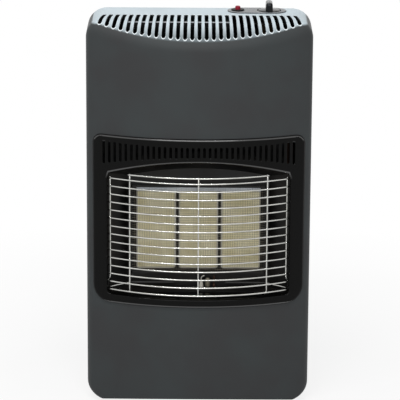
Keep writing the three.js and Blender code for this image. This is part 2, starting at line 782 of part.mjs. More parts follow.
// The partition between the burners and the cylinder bay, with turned edges.
function heatShield() {
  const half = HALF_WIDTH - 2 * SHEET - 3 * GAP;
  const low = BASE_TOP_Z + GAP;
  const high = SHIELD_TOP_Z;
  const back = SHIELD_Y + SHEET;
  const plate = block([-half, half], [SHIELD_Y, back], [low, high]);
  const footFlange = block([-half, half], [SHIELD_Y - SHIELD_FLANGE, back], [low, low + SHEET]);
  const sideFlange = block([half - SHEET, half], [SHIELD_Y - SHIELD_FLANGE, back], [low, high]);
  const topFlange = block(
    [-half, SHIELD_TOP_FLANGE_END], [SHIELD_Y - SHIELD_TOP_FLANGE, back], [high - SHEET, high],
  );
  const pipeNotch = block(SHIELD_NOTCH_XS, [SHIELD_Y - 5, SHIELD_Y + 5], [SHIELD_NOTCH_Z, high + 5]);
  const body = join(plate, footFlange, sideFlange, sideFlange.mirror([1, 0, 0]), topFlange);
  return cut(body, pipeNotch);
}

// The lift-off rear cover: a shallow pan with vent rows, a hand hole and four hooks.
function rearCover() {
  const backY = COVER_FACE_Y + SHEET - GAP;
  const face = backY - SHEET;
  const panOutline = (inset) => roundedRectangle(
    -COVER_HALF_WIDTH + inset, COVER_BOTTOM_Z + inset, COVER_HALF_WIDTH - inset, COVER_TOP_Z - inset,
    Array(4).fill(COVER_RADIUS - inset),
  );
  const pan = cut(
    prismY(panOutline(0), face - COVER_RIM, backY, 2),
    prismY(panOutline(SHEET), face - COVER_RIM - 1, face, 2),
  );
  const vents = [];
  [-1, 1].forEach((column) => {
    COVER_VENT_STARTS.forEach((start) => {
      for (let row = 0; row < COVER_VENT_ROWS; row += 1) {
        const z = start + row * COVER_VENT_PITCH;
        const outline = stadium(column * COVER_VENT_X, z, COVER_VENT_HALF, COVER_VENT_RADIUS);
        vents.push(prismY(outline, face - 5, backY + 5, 1));
      }
    });
  });
  const handHole = prismY(stadium(0, HAND_HOLE_Z, HAND_HOLE_HALF, HAND_HOLE_RADIUS), face - 5, backY + 5, 4);
  const hooks = HOOK_HEIGHTS.flatMap((z) => [-1, 1].map((side) => {
    const xs = [side * HOOK_X - HOOK_WIDTH / 2, side * HOOK_X + HOOK_WIDTH / 2];
    const innerY = REAR_Y - SHEET - HOOK_TAB;
    const arm = block(xs, [innerY, backY - SHEET / 2], [z, z + SHEET]);
    const leg = block(xs, [innerY, innerY + SHEET], [z - HOOK_LEG, z + SHEET]);
    return join(arm, leg);
  }));
  return join(cut(pan, handHole, ...vents), ...hooks);
}

// ---------------------------------------------------------------- bezel and guard

function mouthOutline(grow) {
  const half = MOUTH_HALF_WIDTH + grow;
  const bottom = MOUTH_BOTTOM_Z - grow;
  const side = MOUTH_SIDE_Z + grow;
  const arch = MOUTH_TOP_Z - MOUTH_SIDE_Z;
  const corner = MOUTH_CORNER_RADIUS + grow;
  const archAt = (x) => side + arch * (1 - (x / half) ** 2);
  const shape = new THREE.Shape();
  shape.moveTo(-half + corner, bottom);
  shape.lineTo(half - corner, bottom);
  shape.absarc(half - corner, bottom + corner, corner, -Math.PI / 2, 0);
  shape.lineTo(half, side - corner);
  const steps = 10;
  for (let i = 0; i <= steps; i += 1) {
    const x = (half - corner / 3) * (1 - (2 * i) / steps);
    shape.lineTo(x, archAt(x));
  }
  shape.lineTo(-half, side - corner);
  shape.absarc(-half + corner, bottom + corner, corner, Math.PI, Math.PI * 1.5);
  return shape;
}

function bezelOutline() {
  const half = BEZEL_HALF_WIDTH;
  const shape = new THREE.Shape();
  shape.moveTo(-half + BEZEL_BOTTOM_RADIUS, BEZEL_BOTTOM_Z);
  shape.lineTo(half - BEZEL_BOTTOM_RADIUS, BEZEL_BOTTOM_Z);
  shape.absarc(
    half - BEZEL_BOTTOM_RADIUS, BEZEL_BOTTOM_Z + BEZEL_BOTTOM_RADIUS, BEZEL_BOTTOM_RADIUS, -Math.PI / 2, 0,
  );
  shape.lineTo(half, BEZEL_TOP_Z - BEZEL_TOP_RADIUS);
  shape.absarc(half - BEZEL_TOP_RADIUS, BEZEL_TOP_Z - BEZEL_TOP_RADIUS, BEZEL_TOP_RADIUS, 0, Math.PI / 2);
  const straightHalf = half - BEZEL_TOP_RADIUS;
  const steps = 6;
  for (let i = 1; i < steps; i += 1) {
    const x = straightHalf * (1 - (2 * i) / steps);
    shape.lineTo(x, BEZEL_TOP_Z - BEZEL_TOP_DIP * (1 - (x / straightHalf) ** 2));
  }
  shape.lineTo(-straightHalf, BEZEL_TOP_Z);
  shape.absarc(-straightHalf, BEZEL_TOP_Z - BEZEL_TOP_RADIUS, BEZEL_TOP_RADIUS, Math.PI / 2, Math.PI);
  shape.lineTo(-half, BEZEL_BOTTOM_Z + BEZEL_BOTTOM_RADIUS);
  shape.absarc(
    -half + BEZEL_BOTTOM_RADIUS, BEZEL_BOTTOM_Z + BEZEL_BOTTOM_RADIUS, BEZEL_BOTTOM_RADIUS,
    Math.PI, Math.PI * 1.5,
  );
  shape.holes.push(mouthOutline(0));
  const span = BEZEL_VENTS_EACH_SIDE * BEZEL_VENT_PITCH;
  for (let i = -BEZEL_VENTS_EACH_SIDE; i <= BEZEL_VENTS_EACH_SIDE; i += 1) {
    const x = i * BEZEL_VENT_PITCH;
    const share = (x / span) ** 2;
    const top = BEZEL_VENT_TOP_Z + BEZEL_VENT_TOP_RISE * share;
    const bottom = BEZEL_VENT_BOTTOM_Z - BEZEL_VENT_BOTTOM_DROP * share;
    shape.holes.push(uprightSlot(x, bottom, top, BEZEL_VENT_WIDTH / 2));
  }
  return shape;
}

// The enamelled bezel: a bowed plate on the panel's face, with a lip turned into the mouth.
function bezelFrame() {
  const reach = BOW_RADIUS * 0.49;
  const low = BEZEL_BOTTOM_Z - 20;
  const high = BEZEL_TOP_Z + 20;
  const plateBand = bowBand(reach, -BEZEL_PROUD, -GAP, low, high);
  const plate = prismY(bezelOutline(), FRONT_Y - 20, SIDE_RETURN_Y, 2).intersect(plateBand);
  const lipShape = mouthOutline(SHEET);
  lipShape.holes.push(mouthOutline(0));
  const lipBand = bowBand(reach, -BEZEL_PROUD / 2, 60, low, high);
  const lip = prismY(lipShape, FRONT_Y - 20, MOUTH_LIP_BACK_Y, 2).intersect(lipBand);
  return join(plate, lip);
}

function guardArc(z, halfWidth, steps) {
  const angle = Math.asin(halfWidth / GUARD_RADIUS);
  const points = [];
  for (let i = 0; i <= steps; i += 1) {
    const a = angle * ((2 * i) / steps - 1);
    points.push([
      GUARD_RADIUS * Math.sin(a),
      GUARD_FRONT_Y + GUARD_WIRE_RADIUS + GUARD_RADIUS * (1 - Math.cos(a)),
      z,
    ]);
  }
  return routed(points);
}

function guardRibY(x) {
  return GUARD_FRONT_Y + bowSag(x, GUARD_RADIUS) + 3 * GUARD_WIRE_RADIUS - GUARD_WELD;
}

// The wire guard: bowed rows welded to upright ribs, whose ends turn back to hook on the chamber.
function guardGrille() {
  const sides = 4;
  const wires = [];
  for (let row = 0; row < GUARD_ROWS; row += 1) {
    const arc = guardArc(GUARD_BOTTOM_Z + row * GUARD_PITCH, GUARD_HALF_WIDTH, 7);
    wires.push(rod(arc, GUARD_WIRE_RADIUS, sides, 7));
  }
  wires.push(rod(guardArc(GUARD_TOP_ROW_Z, GUARD_TOP_ROW_HALF, 6), GUARD_WIRE_RADIUS, sides, 6));
  const low = GUARD_BOTTOM_Z - 2.4;
  const high = GUARD_TOP_ROW_Z + 2;
  [-GUARD_RIB_X, 0, GUARD_RIB_X].forEach((x) => {
    const y = guardRibY(x);
    wires.push(rod(straight([x, y, low], [x, y, high]), GUARD_WIRE_RADIUS, sides, 1));
  });
  const lastRow = GUARD_BOTTOM_Z + (GUARD_ROWS - 1) * GUARD_PITCH;
  [-1, 1].forEach((side) => {
    const x = side * GUARD_SIDE_RIB_X;
    const y = guardRibY(x);
    const rib = routed([
      [side * (GUARD_SIDE_RIB_X + 4), MOUTH_LIP_BACK_Y - 2.5, 244],
      [side * (GUARD_SIDE_RIB_X + 2.5), MOUTH_LIP_BACK_Y - 4.5, 249],
      [x, y, 258],
      [x, y, 300],
      [x, y, lastRow + 3],
    ]);
    wires.push(rod(rib, GUARD_WIRE_RADIUS, sides, 7));
    const ribY = guardRibY(GUARD_RIB_X);
    const foot = routed([
      [side * GUARD_RIB_X, ribY, 247],
      [side * (GUARD_RIB_X + 20), (ribY + MOUTH_LIP_BACK_Y) / 2, 239],
      [side * (GUARD_SIDE_RIB_X + 3), MOUTH_LIP_BACK_Y - 3, 231],
    ]);
    wires.push(rod(foot, GUARD_WIRE_RADIUS, sides, 4));
  });
  return join(...wires);
}

// ---------------------------------------------------------------- burner chamber and burners

// The funnel's outline at one depth: a level floor, upright sides and an arched roof.
function funnelRing(y, half, floor, side, top) {
  const points = [[-half, floor], [half, floor]];
  const steps = 12;
  for (let i = 0; i <= steps; i += 1) {
    const x = half * (1 - (2 * i) / steps);
    points.push([x, side + (top - side) * (1 - (x / half) ** 2)]);
  }
  return points.map(([x, z]) => new THREE.Vector3(x, z, -y));
}

// The black chamber round the burners, with a flange behind the bezel's mouth.
function burnerChamber() {
  const ringAt = (share, y, grow) => funnelRing(
    y,
    THREE.MathUtils.lerp(CHAMBER_FRONT_HALF, CHAMBER_BACK_HALF, share) + grow,
    CHAMBER_FLOOR_Z - grow,
    THREE.MathUtils.lerp(CHAMBER_FRONT_SIDE_Z, CHAMBER_BACK_SIDE_Z, share) + grow,
    THREE.MathUtils.lerp(CHAMBER_FRONT_TOP_Z, CHAMBER_BACK_TOP_Z, share) + grow,
  );
  const funnel = (frontY, backY, grow) => {
    const depth = CHAMBER_BACK_Y - CHAMBER_FRONT_Y;
    const rings = [backY, frontY].map((y) => ringAt((y - CHAMBER_FRONT_Y) / depth, y, grow));
    return loft(rings).rotate([90, 0, 0]);
  };
  const outer = funnel(CHAMBER_FRONT_Y, CHAMBER_BACK_Y + SHEET, SHEET);
  const inner = funnel(CHAMBER_FRONT_Y - 2, CHAMBER_BACK_Y, 0);
  const flangeRings = [CHAMBER_FRONT_Y + SHEET, CHAMBER_FRONT_Y].map((y) => ringAt(0, y, CHAMBER_FLANGE));
  const flange = loft(flangeRings).rotate([90, 0, 0]);
  const holeHalf = BURNER_PITCH + BURNER_WIDTH / 2 + PLATE_HOLE_MARGIN;
  const hole = block(
    [-holeHalf, holeHalf],
    [CHAMBER_BACK_Y - 5, CHAMBER_BACK_Y + 5],
    [BURNER_BOTTOM_Z - PLATE_HOLE_MARGIN, BURNER_TOP_Z + PLATE_HOLE_MARGIN],
  );
  const pilotHole = block(
    [PILOT_X - PILOT_HALF + 2, PILOT_X + PILOT_HALF - 2],
    [PILOT_Y - 1, PILOT_Y + PILOT_DEPTH - 3],
    [CHAMBER_FLOOR_Z - 5, CHAMBER_FLOOR_Z + 5],
  );
  return cut(join(outer, flange), inner, hole, pilotHole);
}

// A pressed burner box, open at the front, with a mixing tube that flares at its foot.
function burnerHousing(x) {
  const half = BURNER_WIDTH / 2;
  const back = BURNER_FACE_Y + BURNER_DEPTH;
  const outline = (inset) => roundedRectangle(
    x - half + inset, BURNER_BOTTOM_Z + inset, x + half - inset, BURNER_TOP_Z - inset,
    Array(4).fill(BURNER_RADIUS - inset / 2),
  );
  const shell = prismY(outline(0), BURNER_FACE_Y, back, 2);
  const hollow = prismY(outline(BURNER_WALL), BURNER_FACE_Y - 5, back - BURNER_WALL, 2);
  const bore = VENTURI_RADIUS - VENTURI_WALL;
  const throat = VENTURI_BOTTOM_Z + VENTURI_FLARE_HEIGHT;
  const inside = BURNER_BOTTOM_Z + BURNER_WALL;
  const tube = turned([
    [bore, throat],
    [bore + VENTURI_FLARE, VENTURI_BOTTOM_Z],
    [VENTURI_RADIUS + VENTURI_FLARE + 0.6, VENTURI_BOTTOM_Z],
    [VENTURI_RADIUS, throat + 1],
    [VENTURI_RADIUS, inside],
    [bore, inside],
    [bore, throat],
  ], 10, x, VENTURI_Y);
  const through = post(bore, throat + 8, inside + 4, x, VENTURI_Y, 10);
  return join(cut(shell, hollow, through), tube);
}

function ceramicPlaque(x) {
  const half = BURNER_WIDTH / 2 - BURNER_WALL - GAP;
  const bottom = BURNER_BOTTOM_Z + BURNER_WALL + GAP;
  const top = BURNER_TOP_Z - PLAQUE_TOP_MARGIN;
  const outline = roundedRectangle(x - half, bottom, x + half, top, Array(4).fill(PLAQUE_RADIUS));
  const front = BURNER_FACE_Y + PLAQUE_SETBACK;
  return prismY(outline, front, front + PLAQUE_DEPTH, 2);
}

// The mesh in front of the plaques: a square net in a folded frame that stands on the back plate.
function radiantMesh() {
  const half = MESH_HALF_WIDTH;
  const bottom = BURNER_BOTTOM_Z - MESH_BELOW;
  const top = BURNER_TOP_Z + MESH_ABOVE;
  const edge = MESH_EDGE;
  const lap = 0.5;
  const netHalf = half - edge + lap;
  const netBottom = bottom + edge - lap;
  const netTop = top - edge + lap;
  const face = [MESH_Y, MESH_Y + MESH_SHEET];
  const fold = half - MESH_SHEET;
  const frame = cut(
    block([-half, half], [MESH_Y, CHAMBER_BACK_Y - GAP], [bottom, top]),
    block([-half + edge, half - edge], [MESH_Y - 5, 0], [bottom + edge, top - edge]),
    block([-fold, fold], [MESH_Y + MESH_SHEET, 0], [bottom - 5, top + 5]),
  );
  const bars = [];
  for (let column = 1; column < MESH_COLUMNS; column += 1) {
    const x = netHalf * ((2 * column) / MESH_COLUMNS - 1);
    bars.push(block([x - MESH_WIRE / 2, x + MESH_WIRE / 2], face, [netBottom, netTop]));
  }
  for (let row = 1; row < MESH_ROWS; row += 1) {
    const z = THREE.MathUtils.lerp(netBottom, netTop, row / MESH_ROWS);
    bars.push(block([-netHalf, netHalf], face, [z - MESH_WIRE / 2, z + MESH_WIRE / 2]));
  }
  return join(frame, ...bars);
}

// The rail along the top edge of the three burners.
function burnerRail() {
  const half = BURNER_PITCH + BURNER_WIDTH / 2;
  const front = BURNER_FACE_Y - GAP - RAIL_SHEET;
  const top = BURNER_TOP_Z + GAP;
  const face = block([-half, half], [front, front + RAIL_SHEET], [BURNER_TOP_Z - PLAQUE_TOP_MARGIN, top + 1]);
  const ledge = block([-half, half], [front, BURNER_FACE_Y + RAIL_LEDGE], [top, top + 1]);
  return join(face, ledge);
}

// A bent strip below the burners, open in the middle for the pilot. Its front edge is turned down.
function lowerDeflector() {
  const half = DEFLECTOR_HALF;
  const [openingLeft, openingRight] = DEFLECTOR_OPENING;
  const bottom = CHAMBER_FLOOR_Z + GAP;
  const top = bottom + DEFLECTOR_HEIGHT;
  const back = CHAMBER_BACK_Y - GAP;
  const lip = back - DEFLECTOR_REACH;
  const foot = block([-half, half], [back - DEFLECTOR_FOOT, back], [bottom, bottom + SHEET]);
  const wall = block([-half, half], [back - SHEET, back], [bottom, top]);
  const section = new THREE.Shape();
  section.moveTo(back - SHEET / 2, top);
  section.lineTo(lip, top + 2);
  section.lineTo(lip - 1, top);
  section.lineTo(lip - 0.5, top - 0.5);
  section.lineTo(lip + 0.4, top + 0.8);
  section.lineTo(back - SHEET / 2, top - SHEET);
  return join(foot, wall, prismX(section, -half, openingLeft), prismX(section, openingRight, half));
}

// ---------------------------------------------------------------- gas train

// The bar below the mixing tubes: an angle with three seats, fixed to the heat shield.
function injectorBar() {
  const half = BURNER_PITCH + INJECTOR_BAR_OVERHANG;
  const back = SHIELD_Y - GAP;
  const low = INJECTOR_BAR_Z;
  const bar = block([-half, half], [back - INJECTOR_BAR_DEPTH, back], [low, low + INJECTOR_BAR_SHEET]);
  const wall = block([-half, half], [back - INJECTOR_BAR_SHEET, back], [low, low + INJECTOR_BAR_WALL]);
  const seats = [-1, 0, 1].map((i) => (
    post(INJECTOR_RADIUS + 0.5, low - 5, low + 5, i * BURNER_PITCH, VENTURI_Y, 8)
  ));
  return cut(join(bar, wall), ...seats);
}

// A turned jet through the bar, with a hexagon above and a lock nut below.
function injector(x) {
  const above = INJECTOR_BAR_Z + INJECTOR_BAR_SHEET + GAP;
  const below = INJECTOR_BAR_Z - GAP;
  const radius = INJECTOR_RADIUS;
  const tail = below - INJECTOR_TAIL;
  const shoulder = INJECTOR_TIP_Z - 4;
  const profile = [[0, tail], [radius, tail], [radius, shoulder], [1.5, INJECTOR_TIP_Z], [0, INJECTOR_TIP_Z]];
  const body = turned(profile, 8, x, VENTURI_Y);
  const head = post(INJECTOR_HEX_RADIUS, above, above + INJECTOR_HEAD, x, VENTURI_Y, 6);
  const nut = post(INJECTOR_HEX_RADIUS, below - INJECTOR_NUT, below, x, VENTURI_Y, 6);
  return join(body, head, nut);
}

function outletX(outlet) {
  return KNOB_X + (outlet - 1) * OUTLET_PITCH;
}

// The multi-position valve: a cast body with a round bonnet, three outlets in front, one inlet behind.
function gasValve() {
  const outline = roundedRectangle(
    KNOB_X - VALVE_HALF, VALVE_FRONT_Y, KNOB_X + VALVE_HALF, VALVE_REAR_Y, Array(4).fill(VALVE_RADIUS),
  );
  const body = prismZ(outline, VALVE_LOW_Z, VALVE_HIGH_Z, 3);
  const bonnetTop = VALVE_HIGH_Z + BONNET_HEIGHT;
  const bonnet = turned([
    [0, VALVE_HIGH_Z - 1], [BONNET_RADIUS, VALVE_HIGH_Z - 1], [BONNET_RADIUS - 2, bonnetTop], [0, bonnetTop],
  ], 16, KNOB_X, PLATE_CENTRE_Y);
  const bosses = OUTLET_ZS.map((z, outlet) => {
    const x = outletX(outlet);
    const ends = straight([x, VALVE_FRONT_Y - OUTLET_BOSS, z], [x, VALVE_FRONT_Y + 2, z]);
    return rod(ends, OUTLET_RADIUS, 8, 1);
  });
  const inletY = [VALVE_REAR_Y - 2, VALVE_REAR_Y + INLET_BOSS];
  const inlet = rod(straight([KNOB_X, inletY[0], INLET_Z], [KNOB_X, inletY[1], INLET_Z]), INLET_RADIUS, 8, 1);
  const spindleBore = post(SPINDLE_BORE, VALVE_HIGH_Z - 16, VALVE_HIGH_Z + 10, KNOB_X, PLATE_CENTRE_Y, 12);
  return cut(join(body, bonnet, ...bosses, inlet), spindleBore);
}

// The bridge that hangs the valve under the top.
function valveBracket() {
  const topZ = TOP_Z - SHEET - GAP;
  const low = VALVE_HIGH_Z + GAP;
  const ys = [VALVE_FRONT_Y, VALVE_REAR_Y];
  const plate = block([-BRACKET_HALF, BRACKET_HALF], ys, [low, low + BRACKET_SHEET]);
  const leg = block([BRACKET_HALF - BRACKET_SHEET, BRACKET_HALF], ys, [low, topZ]);
  const tabXs = [BRACKET_HALF - BRACKET_SHEET / 2, BRACKET_HALF - BRACKET_SHEET / 2 + BRACKET_TAB];
  const tab = block(tabXs, ys, [topZ - BRACKET_SHEET, topZ]);
  const right = join(leg, tab);
  const bonnetHole = post(BONNET_RADIUS + 0.4, low - 5, low + 5, 0, PLATE_CENTRE_Y, 16);
  return cut(join(plate, right, right.mirror([1, 0, 0])), bonnetHole).translate([KNOB_X, 0, 0]);
}

// Barbed hose nozzle behind the valve, turned down into the cylinder bay.
function hoseNozzle() {
  const startY = VALVE_REAR_Y + INLET_BOSS + GAP;
  const endY = startY + 28;
  const elbow = routed([
    [KNOB_X, startY, INLET_Z],
    [KNOB_X, startY + 14, INLET_Z],
    [KNOB_X, startY + 24, INLET_Z - 6],
    [KNOB_X, endY, INLET_Z - 16],
    [KNOB_X, endY, INLET_Z - 34],
  ]);
  const barbs = [658, 664].map((z) => (
    turned([[0, z], [4.6, z], [5.8, z + 3.4], [0, z + 3.4]], 8, KNOB_X, endY)
  ));
  const nutEnds = straight([KNOB_X, startY, INLET_Z], [KNOB_X, startY + 9, INLET_Z]);
  return join(rod(elbow, 4.5, 8, 8), rod(nutEnds, INLET_RADIUS + 0.5, 6, 1), ...barbs);
}

// Pipes from the valve's outlets down to the injectors, held in front of the heat shield.
function burnerPipe(outlet) {
  const x = (1 - outlet) * BURNER_PITCH;
  const outX = outletX(outlet);
  const outY = VALVE_FRONT_Y - OUTLET_BOSS - GAP;
  const outZ = OUTLET_ZS[outlet];
  const runY = SHIELD_Y - 15 + 6 * (outlet - 1);
  const downX = 168 + outlet * 9;
  const nozzleZ = INJECTOR_BAR_Z - GAP - INJECTOR_TAIL - GAP;
  const levelZ = nozzleZ - 14 - outlet * 9;
  return rod(routed([
    [outX, outY, outZ],
    [outX, outY - 9, outZ - 1],
    [(outX + downX) / 2, outY - 12, outZ - 16],
    [downX, runY - 6, 640],
    [downX, runY, 600],
    [downX, runY, 400],
    [downX, runY, levelZ + 24],
    [downX - 14, runY - 4, levelZ],
    [x + 26, VENTURI_Y, levelZ],
    [x, VENTURI_Y, nozzleZ - 6],
    [x, VENTURI_Y, nozzleZ],
  ]), PIPE_RADIUS, 6, 18);
}

// The bracket under the middle burner that holds the pilot, the electrode and the thermocouple.
function pilotBracket() {
  const xs = [PILOT_X - PILOT_HALF, PILOT_X + PILOT_HALF];
  const back = PILOT_Y + PILOT_DEPTH;
  const low = PILOT_BASE_Z;
  const plate = block(xs, [PILOT_Y, back], [low, low + PILOT_SHEET]);
  const wall = block(xs, [back - PILOT_SHEET, back], [low, low + 14]);
  const holes = [-1, 0, 1].map((i) => (
    post(3.4, low - 5, low + 5, PILOT_X + i * PILOT_PITCH, PILOT_LINE_Y, 10)
  ));
  return cut(join(plate, wall), ...holes);
}

function pilotBurner() {
  const low = PILOT_BASE_Z;
  return turned([
    [0, low - 12], [3, low - 12], [3, low + 2], [5, low + 4], [5, low + 16], [3.2, low + 20], [0, low + 20],
  ], 12, PILOT_X, PILOT_LINE_Y);
}

// A glazed insulator and the bent wire that sparks to the pilot burner.
function sparkElectrode() {
  const x = PILOT_X - PILOT_PITCH;
  const y = PILOT_LINE_Y;
  const low = PILOT_BASE_Z;
  const insulator = turned([
    [0, low - 14], [3, low - 14], [3, low + 2], [4.2, low + 3], [2.6, low + 14], [0, low + 14],
  ], 12, x, y);
  const tip = rod(routed([
    [x, y, low + 12],
    [x, y, low + 20],
    [x + 2, y, low + 23],
    [x + 6, y, low + 24.5],
  ]), 0.9, 6, 6);
  return join(insulator, tip);
}

// The thermocouple: a probe beside the pilot flame and its capillary up to the valve.
function thermocouple() {
  const x = PILOT_X + PILOT_PITCH;
  const y = PILOT_LINE_Y;
  const low = PILOT_BASE_Z;
  const valveX = KNOB_X + 12;
  const probe = turned([
    [0, low - 12], [3, low - 12], [3, low + 6], [2, low + 8], [2, low + 23], [0, low + 25],
  ], 12, x, y);
  const lead = rod(routed([
    [x, y, low - 11],
    [x + 1, y - 1, low - 18],
    [x + 15, y - 10, low - 26],
    [140, -154, 190],
    [198, -130, 205],
    [200, -116, 300],
    [200, -112, 600],
    [198, -99, 640],
    [155, -99, 652],
    [valveX, -92, 660],
    [valveX, PLATE_CENTRE_Y, 664],
    [valveX, PLATE_CENTRE_Y + 2, VALVE_LOW_Z - GAP],
  ]), CAPILLARY_RADIUS, 4, 24);
  return join(probe, lead);
}

// The pilot's gas pipe, clipped up the right-hand edge of the heat shield.
function pilotPipe() {
  const y = PILOT_LINE_Y;
  const low = PILOT_BASE_Z;
  const valveX = KNOB_X - 10;
  return rod(routed([
    [PILOT_X, y, low - 12 - GAP],
    [PILOT_X, y, low - 22],
    [PILOT_X + 16, y, low - 32],
    [120, y, 188],
    [180, -132, 200],
    [194, -120, 240],
    [194, -116, 300],
    [194, -116, 600],
    [190, -100, 636],
    [160, -99.5, 643],
    [valveX + 4, -94, 652],
    [valveX, PLATE_CENTRE_Y, 663],
    [valveX, PLATE_CENTRE_Y, VALVE_LOW_Z - GAP],
  ]), PILOT_PIPE_RADIUS, 5, 26);
}

// ---------------------------------------------------------------- controls

function controlPlate() {
  const half = (PLATE_LENGTH - PLATE_DEPTH) / 2;
  const outline = stadium(PLATE_CENTRE_X, PLATE_CENTRE_Y, half, PLATE_DEPTH / 2);
  const holes = controlHoles(PLATE_LOW_Z - 5, PLATE_TOP_Z + 5);
  return cut(prismZ(outline, PLATE_LOW_Z, PLATE_TOP_Z, 6), ...holes);
}

// The chromed knob: a thin skirt in the plate's hole and a tapered finger blade across it.
function knob() {
  const low = KNOB_FOOT_Z;
  const skirtTop = low + KNOB_SKIRT;
  const skirt = turned([
    [0, low], [KNOB_RADIUS, low], [KNOB_RADIUS, skirtTop - 1.5], [KNOB_RADIUS - 2, skirtTop],
    [11, skirtTop + 1], [0, skirtTop + 1.4],
  ], 24);
  const foot = BLADE_FOOT_WIDTH / 2;
  const shoulder = BLADE_TOP_WIDTH / 2;
  const crown = shoulder - 2;
  const blade = new THREE.Shape();
  blade.moveTo(-foot, skirtTop - 1);
  blade.lineTo(foot, skirtTop - 1);
  blade.lineTo(shoulder, KNOB_TOP_Z - 1.5);
  blade.lineTo(crown, KNOB_TOP_Z);
  blade.lineTo(-crown, KNOB_TOP_Z);
  blade.lineTo(-shoulder, KNOB_TOP_Z - 1.5);
  const bladeRound = post(KNOB_RADIUS - 1.5, low, KNOB_TOP_Z + 5, 0, 0, 24);
  const grip = prismY(blade, -KNOB_RADIUS, KNOB_RADIUS).intersect(bladeRound);
  const socket = post(SPINDLE_BORE, low - 5, low + KNOB_SOCKET, 0, 0, 12);
  return cut(join(skirt, grip), socket);
}

function valveSpindle() {
  const top = KNOB_FOOT_Z + KNOB_SOCKET - GAP;
  return post(SPINDLE_RADIUS, VALVE_HIGH_Z - 8, top, KNOB_X, PLATE_CENTRE_Y, 12);
}

// The stop washer below the knob: the spindle turns in it, and it moves up and down with the spindle.
function stopWasher() {
  const low = VALVE_HIGH_Z + 11;
  return ring(SPINDLE_BORE, STOP_WASHER_RADIUS, low, low + 2, 16, KNOB_X, PLATE_CENTRE_Y);
}

function igniterCollar() {
  const bore = BUTTON_RADIUS + 0.4;
  const low = PLATE_TOP_Z + GAP;
  const sleeve = IGNITER_HOLE_RADIUS - 0.5;
  const rim = IGNITER_COLLAR_RADIUS;
  return turned([
    [bore, IGNITER_HEAD_Z], [sleeve, IGNITER_HEAD_Z], [sleeve, low], [rim, low],
    [rim, low + 0.8], [rim - 1.5, low + 1.8], [bore, low + 1.8], [bore, IGNITER_HEAD_Z],
  ], 16, IGNITER_X, PLATE_CENTRE_Y);
}

function igniterButton() {
  const low = TOP_Z - 10;
  const high = BUTTON_TOP_Z;
  const radius = BUTTON_RADIUS;
  return turned([
    [0, low], [radius, low], [radius, high - 1.6], [radius - 1.4, high - 0.3], [0, high],
  ], 16, IGNITER_X, PLATE_CENTRE_Y);
}

// The igniter's body below the collar, with a waist where its lead plugs in.
function piezoIgniter() {
  const low = IGNITER_FOOT_Z;
  const high = IGNITER_HEAD_Z - GAP;
  return turned([
    [0, low], [3, low], [3, low + 8], [8, low + 9], [8, high - 15.7],
    [9.4, high - 13.7], [9.4, high], [0, high],
  ], 16, IGNITER_X, PLATE_CENTRE_Y);
}

// The ignition lead is clipped down the heat shield from the igniter to the electrode.
function ignitionLead() {
  const x = PILOT_X - PILOT_PITCH;
  const y = PILOT_LINE_Y;
  return rod(routed([
    [IGNITER_X, PLATE_CENTRE_Y, IGNITER_FOOT_Z - GAP],
    [IGNITER_X, PLATE_CENTRE_Y, 668],
    [IGNITER_X - 3, PLATE_CENTRE_Y - 8, 658],
    [IGNITER_X - 9, -102, 650],
    [-60, -105, 620],
    [-150, -105, 560],
    [-165, -105, 400],
    [-150, -105, 220],
    [-125, -140, 196],
    [-60, -148, 186],
    [-20, -147, 184],
    [x - 1, y, 192],
    [x, y, PILOT_BASE_Z - 14 - GAP],
  ]), LEAD_RADIUS, 5, 26);
}

// The strip seen through the top vents: a light angle hung under the roll by a tab at each end.
function ventRail() {
  const front = VENT_RAIL_Y;
  const [left, right] = VENT_RAIL_ENDS;
  const top = VENT_RAIL_TOP_Z;
  const web = block([left, right], [front, front + SHEET], [top - VENT_RAIL_DROP, top]);
  const ledge = block([left, right], [front, front + VENT_RAIL_DEPTH], [top - SHEET, top]);
  const tabs = VENT_RAIL_ENDS.map((end) => {
    const inward = end < 0 ? end + VENT_RAIL_TAB : end - VENT_RAIL_TAB;
    const xs = [Math.min(end, inward), Math.max(end, inward)];
    const backY = front + VENT_RAIL_DEPTH;
    return block(xs, [backY - SHEET, backY], [top - SHEET, top + VENT_RAIL_TAB]);
  });
  return join(web, ledge, ...tabs);
}

// ---------------------------------------------------------------- casters

// Every caster piece is made round its own swivel axis and moved into place by the group it is in.
function casterMount() {
  const half = CASTER_PLATE_HALF;
  const plate = block([-half, half], [-half, half], [CASTER_TOP_Z - 2, CASTER_TOP_Z]);
  const cup = turned([
    [0, FORK_CROWN_Z + 1], [11, FORK_CROWN_Z + 1], [16, CASTER_TOP_Z - 3], [16, CASTER_TOP_Z - 1],
    [0, CASTER_TOP_Z - 1],
  ], 10);
  const pin = post(SWIVEL_PIN_RADIUS, FORK_CROWN_Z - 5, FORK_CROWN_Z + 2, 0, 0, 8);
  return join(plate, cup, pin);
}

